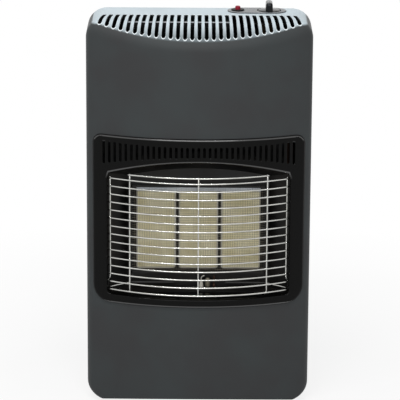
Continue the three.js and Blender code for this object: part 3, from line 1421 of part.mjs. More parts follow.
// The fork: a round crown on the swivel pin, and two cheeks that reach back to the axle.
function casterFork() {
  const low = FORK_CROWN_Z - 2;
  const crown = ring(FORK_BORE, FORK_CROWN_RADIUS, low, FORK_CROWN_Z + 0.6, 10);
  const cheekTop = low + CHEEK;
  const roof = block([-CHEEK_OUT, CHEEK_OUT], [3, CASTER_TRAIL + 5], [low, cheekTop]);
  const cheek = new THREE.Shape();
  cheek.moveTo(3, cheekTop);
  cheek.lineTo(CASTER_TRAIL - 6, WHEEL_RADIUS - 4);
  cheek.absarc(CASTER_TRAIL, WHEEL_RADIUS, 7, Math.PI * 1.2, Math.PI * 2);
  cheek.lineTo(CASTER_TRAIL + 5, cheekTop);
  const axleHole = new THREE.Path();
  axleHole.absarc(CASTER_TRAIL, WHEEL_RADIUS, AXLE_RADIUS + 0.4, 0, Math.PI * 2, true);
  cheek.holes.push(axleHole);
  const right = prismX(cheek, CHEEK_IN, CHEEK_OUT, 4);
  const pinRoom = post(FORK_BORE, 0, FORK_CROWN_Z + 5, 0, 0, 10);
  return cut(join(crown, roof, right, right.mirror([1, 0, 0])), pinRoom);
}

function alongX(body) {
  return body.rotate([0, 90, 0]).translate([0, CASTER_TRAIL, WHEEL_RADIUS]);
}

function casterAxle() {
  const inner = CHEEK_OUT + GAP;
  const outer = inner + AXLE_HEAD;
  const head = AXLE_HEAD_RADIUS;
  return alongX(turned([
    [0, -outer], [head, -outer], [head, -inner], [AXLE_RADIUS, -inner],
    [AXLE_RADIUS, inner], [head, inner], [head, outer], [0, outer],
  ], 8));
}

// The wheel's rim is chamfered, and its sides are dished round the hub.
function casterWheel() {
  const half = WHEEL_WIDTH / 2;
  const bore = AXLE_RADIUS + 0.5;
  const tread = half - 2.5;
  const shoulder = WHEEL_RADIUS - 2;
  return alongX(turned([
    [bore, -half], [12, -half + 2], [14, -half], [shoulder, -half], [WHEEL_RADIUS, -tread],
    [WHEEL_RADIUS, tread], [shoulder, half], [14, half], [12, half - 2], [bore, half], [bore, -half],
  ], 12));
}

// ---------------------------------------------------------------- assembly

const heater = new THREE.Group();

function add(name, body, material, parent = heater) {
  const mesh = new THREE.Mesh(geometryOf(body), material());
  mesh.name = name;
  parent.add(mesh);
  return mesh;
}

add('front_panel', frontPanel(), greyPaint);
add('side_panel_left', sidePanel(-1), greyPaint);
add('side_panel_right', sidePanel(1), greyPaint);
add('top_panel', topPanel(), greyPaint);
add('base_tray', baseTray(), heatBlack);
add('heat_shield', heatShield(), aluminisedSteel);
add('vent_rail', ventRail(), zincSteel);
add('rear_cover', rearCover(), greyPaint);

add('bezel_frame', bezelFrame(), blackEnamel);
add('guard_grille', guardGrille(), chrome);
add('burner_chamber', burnerChamber(), heatBlack);

const BURNERS = ['left', 'middle', 'right'];
BURNERS.forEach((place, i) => {
  const x = (i - 1) * BURNER_PITCH;
  add(`burner_housing_${place}`, burnerHousing(x), aluminisedSteel);
  add(`ceramic_plaque_${place}`, ceramicPlaque(x), ceramic);
  add(`injector_${place}`, injector(x), brass);
  add(`burner_pipe_${place}`, burnerPipe(2 - i), copper);
});
add('burner_rail', burnerRail(), aluminisedSteel);
add('lower_deflector', lowerDeflector(), aluminisedSteel);
add('radiant_mesh', radiantMesh(), zincSteel);
add('injector_bar', injectorBar(), zincSteel);

add('pilot_bracket', pilotBracket(), zincSteel);
add('pilot_burner', pilotBurner(), zincSteel);
add('pilot_pipe', pilotPipe(), copper);
add('spark_electrode', sparkElectrode(), ceramic);
add('thermocouple', thermocouple(), copper);

add('gas_valve', gasValve(), brass);
add('valve_bracket', valveBracket(), zincSteel);
add('hose_nozzle', hoseNozzle(), brass);

add('control_plate', controlPlate(), brushedPlate);
add('igniter_collar', igniterCollar(), blackPlastic);
add('igniter_button', igniterButton(), redPlastic);
add('piezo_igniter', piezoIgniter(), blackPlastic);
add('ignition_lead', ignitionLead(), leadSleeve);
add('valve_spindle', valveSpindle(), brass);
add('stop_washer', stopWasher(), zincSteel);

const knobMesh = add('knob', knob(), chrome);
knobMesh.position.set(KNOB_X, PLATE_CENTRE_Y, 0);

CASTER_YS.forEach((y, row) => {
  [-1, 1].forEach((side) => {
    const place = `${row === 0 ? 'front' : 'rear'}_${side < 0 ? 'left' : 'right'}`;
    const caster = new THREE.Group();
    caster.position.set(side * CASTER_X, y, 0);
    add(`caster_mount_${place}`, casterMount(), zincSteel, caster);
    add(`caster_fork_${place}`, casterFork(), zincSteel, caster);
    add(`caster_axle_${place}`, casterAxle(), zincSteel, caster);
    add(`caster_wheel_${place}`, casterWheel(), casterRubber, caster);
    heater.add(caster);
  });
});

export default heater;
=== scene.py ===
# Portable gas cabinet heater: the finished looks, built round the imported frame.
# Shapes are worked out in millimetres, with +Z up and the front towards -Y, and made in metres.

import math

import bmesh
import bpy
from mathutils import Matrix, Vector
from mathutils.bvhtree import BVHTree
from mathutils.geometry import delaunay_2d_cdt


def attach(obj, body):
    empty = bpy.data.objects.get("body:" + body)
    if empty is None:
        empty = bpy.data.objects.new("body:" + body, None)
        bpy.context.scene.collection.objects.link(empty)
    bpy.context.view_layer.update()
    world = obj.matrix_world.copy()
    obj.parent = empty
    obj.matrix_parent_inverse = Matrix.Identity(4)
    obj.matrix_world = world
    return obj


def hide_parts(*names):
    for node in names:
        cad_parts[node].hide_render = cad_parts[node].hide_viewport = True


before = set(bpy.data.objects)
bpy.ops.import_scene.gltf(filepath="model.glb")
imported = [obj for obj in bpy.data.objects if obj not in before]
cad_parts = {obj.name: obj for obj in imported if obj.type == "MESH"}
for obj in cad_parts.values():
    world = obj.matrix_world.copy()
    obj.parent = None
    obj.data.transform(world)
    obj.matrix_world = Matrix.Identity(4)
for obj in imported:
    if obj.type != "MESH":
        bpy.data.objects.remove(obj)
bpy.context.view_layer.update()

MM = 0.001

# ---------------------------------------------------------------- dimensions, mm

# Cabinet.
HALF_WIDTH = 210
FRONT_Y = -210
REAR_Y = 214
TOP_Z = 744
SHEET = 1.2
GAP = 0.3

# Bowed front and its rolled top edge.
BOW_RADIUS = 420
FRONT_CORNER_RADIUS = 10
SHOULDER_RADIUS = 37
FOOT_CORNER_RADIUS = 32
FOOT_CORNER_Z = 38
ROLL_BACK_Y = -130
ROLL_RISE_BASE = 14
ROLL_RISE_SHARE = 0.5
CREST_Y = -52
SIDE_RETURN_Y = -130
HOOD_FOOT_Z = 700
SKIRT_Z = 22
SKIRT_ARCH_SHARE = 0.352
BOW_STEPS = 56
CORNER_STEPS = 6
ROLL_STEPS = 26

# Fan of top vents.
TOP_VENTS_EACH_SIDE = 14
TOP_VENT_PITCH = 12.5
TOP_VENT_WIDTH = 7.2
TOP_VENT_REAR_Y = -120
TOP_VENT_SPREAD = 1.056
TOP_VENT_MIDDLE_DROP = 30.6
TOP_VENT_SIDE_DROP = 10.5
VENT_END_STEPS = 10

# Opening in the front panel behind the bezel.
WINDOW_HALF_WIDTH = 183
WINDOW_BOTTOM_Z = 212
WINDOW_TOP_Z = 517
WINDOW_CORNER_RADIUS = 14
WINDOW_BACK_Y = -134

# Enamelled bezel and its mouth. Its lower edge stands 2 mm higher than the solid's.
BEZEL_HALF_WIDTH = 198
BEZEL_BOTTOM_Z = 203.5
BEZEL_TOP_Z = 529
BEZEL_TOP_RADIUS = 18
BEZEL_BOTTOM_RADIUS = 33
BEZEL_PROUD = 4
BEZEL_THICKNESS = 1.0
MOUTH_HALF_WIDTH = 171
MOUTH_BOTTOM_Z = 220
MOUTH_SIDE_Z = 455
MOUTH_TOP_Z = 484
MOUTH_CORNER_RADIUS = 10
MOUTH_LIP_BACK_Y = -165
MOUTH_EDGE_ROLL = 3.2
MOUTH_LIP_ROWS = 5
BEZEL_VENTS_EACH_SIDE = 17
BEZEL_VENT_PITCH = 10.38
BEZEL_VENT_WIDTH = 4.3
BEZEL_VENT_TOP_Z = 513
BEZEL_VENT_TOP_RISE = 3.9
BEZEL_VENT_BOTTOM_Z = 493.9
BEZEL_VENT_BOTTOM_DROP = 20.4
BEZEL_VENT_ROLL = 1.3
BEZEL_GRID = 6

# Wire guard. Its wires are 0.4 mm thinner than the solid's.
GUARD_FRONT_Y = -220
GUARD_RADIUS = 330
GUARD_WIRE_RADIUS = 1.4
GUARD_HALF_WIDTH = 169.8
GUARD_ROWS = 15
GUARD_BOTTOM_Z = 229.2
GUARD_PITCH = 15.45
GUARD_TOP_ROW_Z = 456
GUARD_TOP_ROW_HALF = 131
GUARD_RIB_X = 128
GUARD_SIDE_RIB_X = 165
GUARD_WELD = 0.6
GUARD_BEAD = (2.1, 1.3, 2.1)
GUARD_RIB_BELOW = 2.4
GUARD_RIB_ABOVE = 2
# A side rib stands upright through these heights, on to a little over the last full row.
GUARD_SIDE_RIB_ZS = (258, 300)
GUARD_SIDE_RIB_ABOVE = 3
# Its lower end hooks behind the lip: (outwards from the rib, back from the lip's end, height).
GUARD_HOOK = [(4, -2.5, 244), (2.5, -4.5, 249)]
# A short foot wire runs from the next rib to the lower corner: height where it starts,
# (outwards from that rib, height) halfway, and its end as in the hook.
GUARD_FOOT_TOP_Z = 247
GUARD_FOOT_MIDDLE = (20, 239)
GUARD_FOOT_END = (3, -3, 231)

# Controls.
PLATE_CENTRE_X = 106.8
PLATE_CENTRE_Y = -80
PLATE_LENGTH = 109.6
PLATE_DEPTH = 49
PLATE_THICKNESS = 1.5
PLATE_TOP_Z = TOP_Z + GAP + PLATE_THICKNESS
KNOB_X = 129.5
KNOB_RADIUS = 21
KNOB_HOLE_RADIUS = 22.5
KNOB_TOP_Z = 762
IGNITER_X = 71
IGNITER_HOLE_RADIUS = 9.9
IGNITER_COLLAR_RADIUS = 12.5
IGNITER_COLLAR_DEPTH = 16
BUTTON_RADIUS = 4.9
BUTTON_PLAY = 0.4
BUTTON_DEPTH = 10
BUTTON_TOP_Z = 754

# Casters.
CASTER_X = 158
CASTER_YS = {"front": -102, "rear": 168}
CASTER_SIDES = {"left": -1, "right": 1}
CASTER_TRAIL = 20
WHEEL_RADIUS = 19
WHEEL_WIDTH = 16
HUB_RADIUS = 12.5
AXLE_RADIUS = 3

# ---------------------------------------------------------------- meshes


def new_piece(name, points, faces, finish=None, body=None, slot=None, smooth_degrees=35):
    """A piece from points in millimetres. It rides on a body and takes the finish given; the slot is not
    used.
    """
    mesh = bpy.data.meshes.new(name)
    mesh.from_pydata([Vector(p) * MM for p in points], [], faces)
    mesh.update()
    piece = bpy.data.objects.new(name, mesh)
    bpy.context.scene.collection.objects.link(piece)
    if finish is not None:
        mesh.materials.append(finish)
    soften(piece, smooth_degrees)
    if body is not None:
        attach(piece, body)
    return piece


def shape_of(piece):
    """A piece's points, in millimetres, and its faces."""
    mesh = piece.data
    return [tuple(v.co / MM) for v in mesh.vertices], [list(f.vertices) for f in mesh.polygons]


def soften(piece, degrees=35):
    """Smooth shading, with edges sharper than the given angle kept crisp."""
    mesh = piece.data
    mesh.shade_smooth()
    mesh.set_sharp_from_angle(angle=math.radians(degrees))


def closed(points, faces):
    """The same mesh with its faces turned outwards and its doubled points joined."""
    work = bmesh.new()
    made = [work.verts.new(p) for p in points]
    for face in faces:
        corners = [made[i] for i in face]
        if len(set(corners)) > 2:
            try:
                work.faces.new(corners)
            except ValueError:
                continue
    bmesh.ops.remove_doubles(work, verts=work.verts, dist=1e-4)
    bmesh.ops.recalc_face_normals(work, faces=work.faces)
    work.verts.index_update()
    result = [tuple(v.co) for v in work.verts], [[v.index for v in f.verts] for f in work.faces]
    work.free()
    return result


def joined(*meshes):
    """Several (points, faces) meshes as one."""
    points, faces = [], []
    for more_points, more_faces in meshes:
        start = len(points)
        points.extend(more_points)
        faces.extend([[i + start for i in face] for face in more_faces])
    return points, faces


def loft(rings, ends=True):
    """Faces through rings of equal point count."""
    count = len(rings[0])
    points = [tuple(p) for ring in rings for p in ring]
    faces = []
    for r in range(len(rings) - 1):
        for i in range(count):
            a = r * count + i
            b = r * count + (i + 1) % count
            faces.append([a, b, b + count, a + count])
    if ends:
        last = (len(rings) - 1) * count
        faces.append(list(range(count))[::-1])
        faces.append([last + i for i in range(count)])
    return points, faces


def prism(outline, low, high, place):
    """An outline of (a, b) points carried from low to high; place turns (a, b, c) into x, y, z."""
    return closed(*loft([[place(a, b, c) for a, b in outline] for c in (low, high)]))


def box(xs, ys, zs):
    """A block between two x, two y and two z."""
    outline = [(xs[0], ys[0]), (xs[1], ys[0]), (xs[1], ys[1]), (xs[0], ys[1])]
    return prism(outline, zs[0], zs[1], lambda a, b, c: (a, b, c))


def turned(profile, centre, segments=48, axis="z"):
    """A revolved profile of (radius, height) points; it closes on itself or on its axis."""
    rings = []
    for step in range(segments):
        angle = 2 * math.pi * step / segments
        across, along = math.cos(angle), math.sin(angle)
        ring = []
        for radius, height in profile:
            spot = (radius * across, radius * along, height)
            if axis == "x":
                spot = (height, radius * across, radius * along)
            ring.append(tuple(Vector(centre) + Vector(spot)))
        rings.append(ring)
    return closed(*loft(rings + [rings[0]], ends=False))


def both_ways(profile):
    """A profile of (radius, height) points and its mirror image, as one ring."""
    return profile + [(radius, -height) for radius, height in reversed(profile)] + profile[:1]


def tube(path, radius, sides=12, ends=True):
    """A round wire or pipe along a line of points, its ends drawn in a little."""
    end_share = 0.55
    end_length = radius * 0.35
    path = [Vector(p) for p in path]
    rings = []
    side = None
    for i, point in enumerate(path):
        ahead = path[min(i + 1, len(path) - 1)] - path[max(i - 1, 0)]
        ahead.normalize()
        if side is None:
            guide = Vector((0, 0, 1)) if abs(ahead.z) < 0.9 else Vector((1, 0, 0))
            side = ahead.cross(guide)
        side = (side - ahead * side.dot(ahead)).normalized()
        other = ahead.cross(side)
        spots = [(point, radius)]
        if ends and i == 0:
            spots = [(point, radius * end_share), (point + ahead * end_length, radius)]
        elif ends and i == len(path) - 1:
            spots = [(point - ahead * end_length, radius), (point, radius * end_share)]
        for spot, reach in spots:
            angles = [2 * math.pi * s / sides for s in range(sides)]
            rings.append([spot + (side * math.cos(a) + other * math.sin(a)) * reach for a in angles])
    return closed(*loft(rings))


def bead(centre, radii, steps=8):
    """A small rounded lump, such as a weld."""
    profile = [(max(0.0, x), y) for x, y in arc(0, 0, 1, -90, 90, steps)]
    points, faces = turned(profile, (0, 0, 0), 10)
    stretched = [tuple(Vector(centre) + Matrix.Diagonal(radii) @ Vector(p)) for p in points]
    return stretched, faces


def smooth_route(points, steps=6):
    """A flowing line through the given points."""
    points = [Vector(p) for p in points]
    route = []
    for i in range(len(points) - 1):
        before = points[max(i - 1, 0)]
        start, end = points[i], points[i + 1]
        after = points[min(i + 2, len(points) - 1)]
        for s in range(steps):
            t = s / steps
            route.append(0.5 * (
                2 * start
                + (end - before) * t
                + (2 * before - 5 * start + 4 * end - after) * t * t
                + (3 * start - before - 3 * end + after) * t * t * t
            ))
    route.append(points[-1])
    return route


def carve(piece, cutter_mesh):
    """Cuts a mesh, in millimetres, out of a piece."""
    cutter = new_piece("cutter", *cutter_mesh)
    tool = piece.modifiers.new("carve", "BOOLEAN")
    tool.operation = "DIFFERENCE"
    tool.solver = "MANIFOLD"
    tool.object = cutter
    bpy.context.view_layer.update()
    shaped = bpy.data.meshes.new_from_object(piece.evaluated_get(bpy.context.evaluated_depsgraph_get()))
    piece.modifiers.remove(tool)
    piece.data = shaped
    cutter_data = cutter.data
    bpy.data.objects.remove(cutter)
    bpy.data.meshes.remove(cutter_data)


# ---------------------------------------------------------------- outlines


def arc(cx, cy, radius, start, end, steps):
    """Points round an arc, angles in degrees."""
    made = []
    for i in range(steps + 1):
        angle = math.radians(start + (end - start) * i / steps)
        made.append((cx + radius * math.cos(angle), cy + radius * math.sin(angle)))
    return made


def level_edge(half_length, z, steps=40):
    """Points along a level lower edge, close enough together to follow the bow."""
    return [(half_length * (2 * i / steps - 1), z) for i in range(1, steps)]


def upright_slot(x, bottom, top, radius, steps=VENT_END_STEPS):
    """A slot with round ends."""
    upper = arc(x, top - radius, radius, 0, 180, steps)
    return upper + arc(x, bottom + radius, radius, 180, 360, steps)


def stadium(cx, cy, half_length, radius, steps=24):
    """The control plate's outline: two half circles joined by straight sides."""
    right = arc(cx + half_length, cy, radius, -90, 90, steps)
    return right + arc(cx - half_length, cy, radius, 90, 270, steps)


def rounded_rectangle(left, bottom, right, top, radius, steps=8):
    """A rectangle with round corners."""
    corners = arc(right - radius, top - radius, radius, 0, 90, steps)
    corners += arc(left + radius, top - radius, radius, 90, 180, steps)
    corners += arc(left + radius, bottom + radius, radius, 180, 270, steps)
    return corners + arc(right - radius, bottom + radius, radius, 270, 360, steps)


def inside(point, outline):
    """Whether a flat point lies within an outline."""
    x, y = point
    odd = False
    for (ax, ay), (bx, by) in zip(outline, outline[1:] + outline[:1]):
        if (ay > y) != (by > y) and x < (bx - ax) * (y - ay) / (by - ay) + ax:
            odd = not odd
    return odd


def bow_sag(x, radius=BOW_RADIUS):
    """How far the bowed front stands back at x from its foremost line."""
    return radius - math.sqrt(radius * radius - x * x)


# ---------------------------------------------------------------- colours and nodes


def colour(code):
    """A hex sRGB colour as linear RGBA."""
    channels = [int(code[i:i + 2], 16) / 255 for i in (1, 3, 5)]
    linear = [c / 12.92 if c <= 0.04045 else ((c + 0.055) / 1.055) ** 2.4 for c in channels]
    return (*linear, 1)


def per(size_mm):
    """The texture scale at which a pattern repeats once in the given size."""
    return 1 / (size_mm * MM)


# The colour sockets of a Mix node, by number, because its names repeat.
MIX_FIRST = 6
MIX_SECOND = 7
MIX_RESULT = 2

# A cloud's middle range, which is stretched to the full drift between two values.
CLOUD_LOW = 0.3
CLOUD_HIGH = 0.7


def add_node(tree, kind, settings=None, links=None):
    """Adds a node: settings are its properties, links its input values and incoming sockets."""
    made = tree.nodes.new(kind)
    for key, value in (settings or {}).items():
        setattr(made, key, value)
    for key, value in (links or {}).items():
        if isinstance(value, bpy.types.NodeSocket):
            tree.links.new(value, made.inputs[key])
        else:
            made.inputs[key].default_value = value
    return made


def new_material(name):
    """A material named for the real one, its node tree, and the object's own coordinates."""
    material = bpy.data.materials.new(name)
    material.use_nodes = True
    tree = material.node_tree
    tree.nodes.clear()
    return material, tree, add_node(tree, "ShaderNodeTexCoord").outputs["Object"]


def finish_surface(tree, sockets):
    """The shader, fed with even values and patterns by socket name, and its way out."""
    shader = add_node(tree, "ShaderNodeBsdfPrincipled", links=sockets)
    add_node(tree, "ShaderNodeOutputMaterial", links={"Surface": shader.outputs["BSDF"]})


def drifting(tree, place, size_mm, low, high, detail=2.0):
    """A value that drifts between two, in clouds of a size."""
    cloud = add_node(
        tree, "ShaderNodeTexNoise", links={"Vector": place, "Scale": per(size_mm), "Detail": detail},
    )
    return add_node(
        tree, "ShaderNodeMapRange", settings={"interpolation_type": "SMOOTHSTEP"},
        links={
            "Value": cloud.outputs["Fac"], "From Min": CLOUD_LOW, "From Max": CLOUD_HIGH,
            "To Min": low, "To Max": high,
        },
    ).outputs["Result"]


def two_toned(tree, place, size_mm, first, second, detail=2.0):
    """A colour that drifts between two close tones, in clouds of a size."""
    return add_node(
        tree, "ShaderNodeMix", settings={"data_type": "RGBA"},
        links={
            "Factor": drifting(tree, place, size_mm, 0, 1, detail),
            MIX_FIRST: colour(first), MIX_SECOND: colour(second),
        },
    ).outputs[MIX_RESULT]


def grained(tree, place, size_mm, depth_mm, strength=0.4):
    """A surface direction that rises and falls in a grain of a size and depth."""
    height = drifting(tree, place, size_mm, 0, 1, 3.0)
    return add_node(
        tree, "ShaderNodeBump",
        links={"Height": height, "Distance": depth_mm * MM, "Strength": strength},
    ).outputs["Normal"]


def seen_or_mirrored(tree):
    """1 where something is seen directly, mirrored or through glass, and 0 where it only gives light."""
    path = add_node(tree, "ShaderNodeLightPath").outputs
    mirrored = add_node(
        tree, "ShaderNodeMath", settings={"operation": "MAXIMUM"},
        links={0: path["Is Glossy Ray"], 1: path["Is Transmission Ray"]},
    )
    seen = add_node(
        tree, "ShaderNodeMath", settings={"operation": "MAXIMUM"},
        links={0: path["Is Camera Ray"], 1: mirrored.outputs[0]},
    )
    return seen.outputs[0]


# ---------------------------------------------------------------- finishes


def metal(name, tones, roughness, grain_mm, draw=(1, 1, 1), spread=0.08, depth_mm=0.02):
    """A bare or plated metal: two close tones, and a roughness that wanders along its grain."""
    material, tree, place = new_material(name)
    drawn = add_node(tree, "ShaderNodeMapping", links={"Vector": place, "Scale": draw}).outputs["Vector"]
    finish_surface(tree, {
        "Base Color": two_toned(tree, place, 40, *tones),
        "Metallic": 1.0,
        "Roughness": drifting(tree, drawn, grain_mm, roughness - spread, roughness + spread, 3.0),
        "Normal": grained(tree, drawn, grain_mm, depth_mm),
    })
    return material


def moulded(name, tones, roughness, grain_mm=0.6, depth_mm=0.03, gloss=0.25):
    """A moulded or sprayed skin: two close tones and a faint even grain."""
    material, tree, place = new_material(name)
    finish_surface(tree, {
        "Base Color": two_toned(tree, place, 25, *tones),
        "IOR": 1.5,
        "Specular IOR Level": gloss,
        "Roughness": drifting(tree, place, grain_mm, roughness - 0.06, roughness + 0.06),
        "Normal": grained(tree, place, grain_mm, depth_mm, 0.35),
    })
    return material


# The hood's silver over the dark grey stands partly as a painted sheen of the light on the top; it
# darkens as painted shade towards its lower edge below the vents. Heights in mm.
BREAK_MIDDLE_Z = 710.5
BREAK_SIDE_RISE = 23
BREAK_SIDE_X = 185
BREAK_SOFTNESS = 4
SILVER_SHADE_SPAN = 27
TOP_SLOPE = math.tan(math.radians(12.5))
PAINT_CLOUD = 90
ORANGE_PEEL = 1.6


def powder_coated_steel():
    """Satin powder coat on steel: dark grey, with a silver hood that is partly painted sheen and darkens
    as painted shade, and a fine orange peel.
    """
    material, tree, place = new_material("powder_coated_steel")
    axes = add_node(tree, "ShaderNodeSeparateXYZ", links={"Vector": place}).outputs
    # The silver's lower edge climbs towards the sides, as the vents' lower ends do.
    squared = add_node(
        tree, "ShaderNodeMath", settings={"operation": "MULTIPLY"}, links={0: axes["X"], 1: axes["X"]},
    )
    rise = add_node(
        tree, "ShaderNodeMath", settings={"operation": "MULTIPLY"},
        links={0: squared.outputs[0], 1: BREAK_SIDE_RISE / (BREAK_SIDE_X ** 2 * MM)},
    )
    kept_rise = add_node(
        tree, "ShaderNodeMath", settings={"operation": "MINIMUM"},
        links={0: rise.outputs[0], 1: BREAK_SIDE_RISE * MM},
    )
    # Behind the crest the top falls away, so heights are measured from the slope there.
    past_crest = add_node(
        tree, "ShaderNodeMath", settings={"operation": "SUBTRACT"},
        links={0: axes["Y"], 1: CREST_Y * MM},
    )
    behind = add_node(
        tree, "ShaderNodeMath", settings={"operation": "MAXIMUM"},
        links={0: past_crest.outputs[0], 1: 0.0},
    )
    level = add_node(
        tree, "ShaderNodeMath", settings={"operation": "MULTIPLY_ADD"},
        links={0: behind.outputs[0], 1: TOP_SLOPE, 2: axes["Z"]},
    )
    height = add_node(
        tree, "ShaderNodeMath", settings={"operation": "SUBTRACT"},
        links={0: level.outputs[0], 1: kept_rise.outputs[0]},
    ).outputs[0]
    low = (BREAK_MIDDLE_Z - BREAK_SOFTNESS / 2) * MM
    # Painted shade: the silver darkens towards its lower edge, where the roll turns away from the light.
    silver_shade_ramp = add_node(
        tree, "ShaderNodeMapRange",
        links={"Value": level.outputs[0], "From Min": low, "From Max": low + SILVER_SHADE_SPAN * MM},
    )
    silver = add_node(
        tree, "ShaderNodeMix", settings={"data_type": "RGBA"},
        links={
            "Factor": silver_shade_ramp.outputs["Result"],
            MIX_FIRST: two_toned(tree, place, PAINT_CLOUD, "#4f575b", "#4b5357"),
            MIX_SECOND: two_toned(tree, place, PAINT_CLOUD, "#c0ccd2", "#b9c5cb"),
        },
    )
    # Where the silver, standing partly as painted sheen, covers the dark grey.
    silver_mask = add_node(
        tree, "ShaderNodeMapRange", settings={"interpolation_type": "SMOOTHSTEP"},
        links={"Value": height, "From Min": low, "From Max": low + BREAK_SOFTNESS * MM},
    )
    paint = add_node(
        tree, "ShaderNodeMix", settings={"data_type": "RGBA"},
        links={
            "Factor": silver_mask.outputs["Result"],
            MIX_FIRST: two_toned(tree, place, PAINT_CLOUD, "#3e4243", "#3c3d3e"),
            MIX_SECOND: silver.outputs[MIX_RESULT],
        },
    )
    finish_surface(tree, {
        "Base Color": paint.outputs[MIX_RESULT],
        "IOR": 1.5,
        "Specular IOR Level": 0.15,
        "Roughness": drifting(tree, place, ORANGE_PEEL, 0.42, 0.52),
        "Normal": grained(tree, place, ORANGE_PEEL, 0.05, 0.3),
    })
    return material


# The slow ripple of fused enamel.
ENAMEL_RIPPLE = 9


def vitreous_enamel(name, gloss):
    """Black vitreous enamel, fused on pressed steel: deep gloss with a slow ripple."""
    material, tree, place = new_material(name)
    finish_surface(tree, {
        "Base Color": two_toned(tree, place, 1.2, "#060606", "#0a0a09", 3.0),
        "IOR": 1.52,
        "Specular IOR Level": gloss,
        "Roughness": drifting(tree, place, ENAMEL_RIPPLE, 0.1, 0.18),
        "Normal": grained(tree, place, ENAMEL_RIPPLE, 0.06, 0.2),
    })
    return material


# Patches that the heat has browned and dulled.
HEAT_PATCH = 60


def stoved_black():
    """Heat-resisting black paint on steel, browned and dulled in patches by heat."""
    material, tree, place = new_material("heat_resisting_black_paint")
    finish_surface(tree, {
        "Base Color": two_toned(tree, place, HEAT_PATCH, "#101010", "#1c1a18", 4.0),
        "IOR": 1.5,
        "Specular IOR Level": 0.3,
        "Roughness": drifting(tree, place, HEAT_PATCH, 0.34, 0.55, 4.0),
        "Normal": grained(tree, place, 0.9, 0.04, 0.3),
    })
    return material


# Rows of flame ports, drawn at twice their real pitch so that they show, and painted darker as the shade
# inside them.
PLAQUE_PORT_PITCH = 3.4
PLAQUE_PORT_DEPTH = 0.6


def pressed_ceramic():
    """Cream burner ceramic, pressed and fired: chalky, with rows of fine flame ports painted darker as
    the shade in them.
    """
    material, tree, place = new_material("perforated_burner_ceramic")
    turns = add_node(
        tree, "ShaderNodeVectorMath", settings={"operation": "SCALE"},
        links={"Vector": place, "Scale": 2 * math.pi / (PLAQUE_PORT_PITCH * MM)},
    )
    waves = add_node(
        tree, "ShaderNodeVectorMath", settings={"operation": "COSINE"},
        links={0: turns.outputs["Vector"]},
    )
    axes = add_node(tree, "ShaderNodeSeparateXYZ", links={"Vector": waves.outputs["Vector"]}).outputs
    crests = add_node(
        tree, "ShaderNodeMath", settings={"operation": "ADD"}, links={0: axes["X"], 1: axes["Z"]},
    )
    port_and_shade = add_node(
        tree, "ShaderNodeMapRange", settings={"interpolation_type": "SMOOTHSTEP"},
        links={
            "Value": crests.outputs[0], "From Min": 0.6, "From Max": 1.3, "To Min": 0, "To Max": 0.5,
        },
    ).outputs["Result"]
    # Painted shade: the ports are darker than the clay.
    clay_and_shade = add_node(
        tree, "ShaderNodeMix", settings={"data_type": "RGBA"},
        links={
            "Factor": port_and_shade,
            MIX_FIRST: two_toned(tree, place, 34, "#efe8c8", "#ddd3aa", 4.0),
            MIX_SECOND: colour("#7d7356"),
        },
    )
    pitted = add_node(
        tree, "ShaderNodeBump", settings={"invert": True},
        links={"Height": port_and_shade, "Distance": PLAQUE_PORT_DEPTH * MM, "Strength": 0.5},
    )
    finish_surface(tree, {
        "Base Color": clay_and_shade.outputs[MIX_RESULT],
        "IOR": 1.5,
        "Specular IOR Level": 0.25,
        "Roughness": drifting(tree, place, 0.8, 0.85, 0.95, 3.0),
        "Normal": pitted.outputs["Normal"],
    })
    return material


def glazed_porcelain():
    """White glazed porcelain of the electrode: clean and glossy."""
    material, tree, place = new_material("glazed_porcelain")
    finish_surface(tree, {
        "Base Color": two_toned(tree, place, 4, "#e6e3da", "#d8d3c6"),
        "IOR": 1.52,
        "Roughness": drifting(tree, place, 4, 0.12, 0.22),
    })
    return material


# Tones that several finishes share.
OVERSPRAY_AND_SHADE_TONES = ("#0b0c0e", "#08090a")
ALUMINISED_TONES = ("#b9b6ab", "#a19d90")
ZINC_TONES = ("#b6babd", "#9ca1a6")

# Above this height the rail's zinc is bare.
RAIL_BRIGHT_Z = 736.3
RAIL_SHADE_EDGE = 0.6
RAIL_CLOUD = 25


def rail_with_painted_shade():
    """Zinc-plated rail whose face is painted near black as the shade behind the vents; its top stays
    bright zinc.
    """
    material, tree, place = new_material("zinc_rail_with_painted_shade")
    height = add_node(tree, "ShaderNodeSeparateXYZ", links={"Vector": place}).outputs["Z"]
    bright = add_node(
        tree, "ShaderNodeMapRange",
        links={
            "Value": height,
            "From Min": (RAIL_BRIGHT_Z - RAIL_SHADE_EDGE) * MM, "From Max": RAIL_BRIGHT_Z * MM,
        },
    ).outputs["Result"]
    # Painted shade: below its top the rail's face is near black.
    tone = add_node(
        tree, "ShaderNodeMix", settings={"data_type": "RGBA"},
        links={
            "Factor": bright,
            MIX_FIRST: two_toned(tree, place, RAIL_CLOUD, "#0c0d0f", "#090a0b"),
            MIX_SECOND: two_toned(tree, place, RAIL_CLOUD, *ZINC_TONES),
        },
    )
    finish_surface(tree, {
        "Base Color": tone.outputs[MIX_RESULT],
        "Specular IOR Level": 0.2,
        "Roughness": drifting(tree, place, 1.5, 0.6, 0.75),
        "Normal": grained(tree, place, 1.5, 0.04),
    })
    return material


DARK_SIDE_CLOUD = 25
SHEET_CLOUD = 40


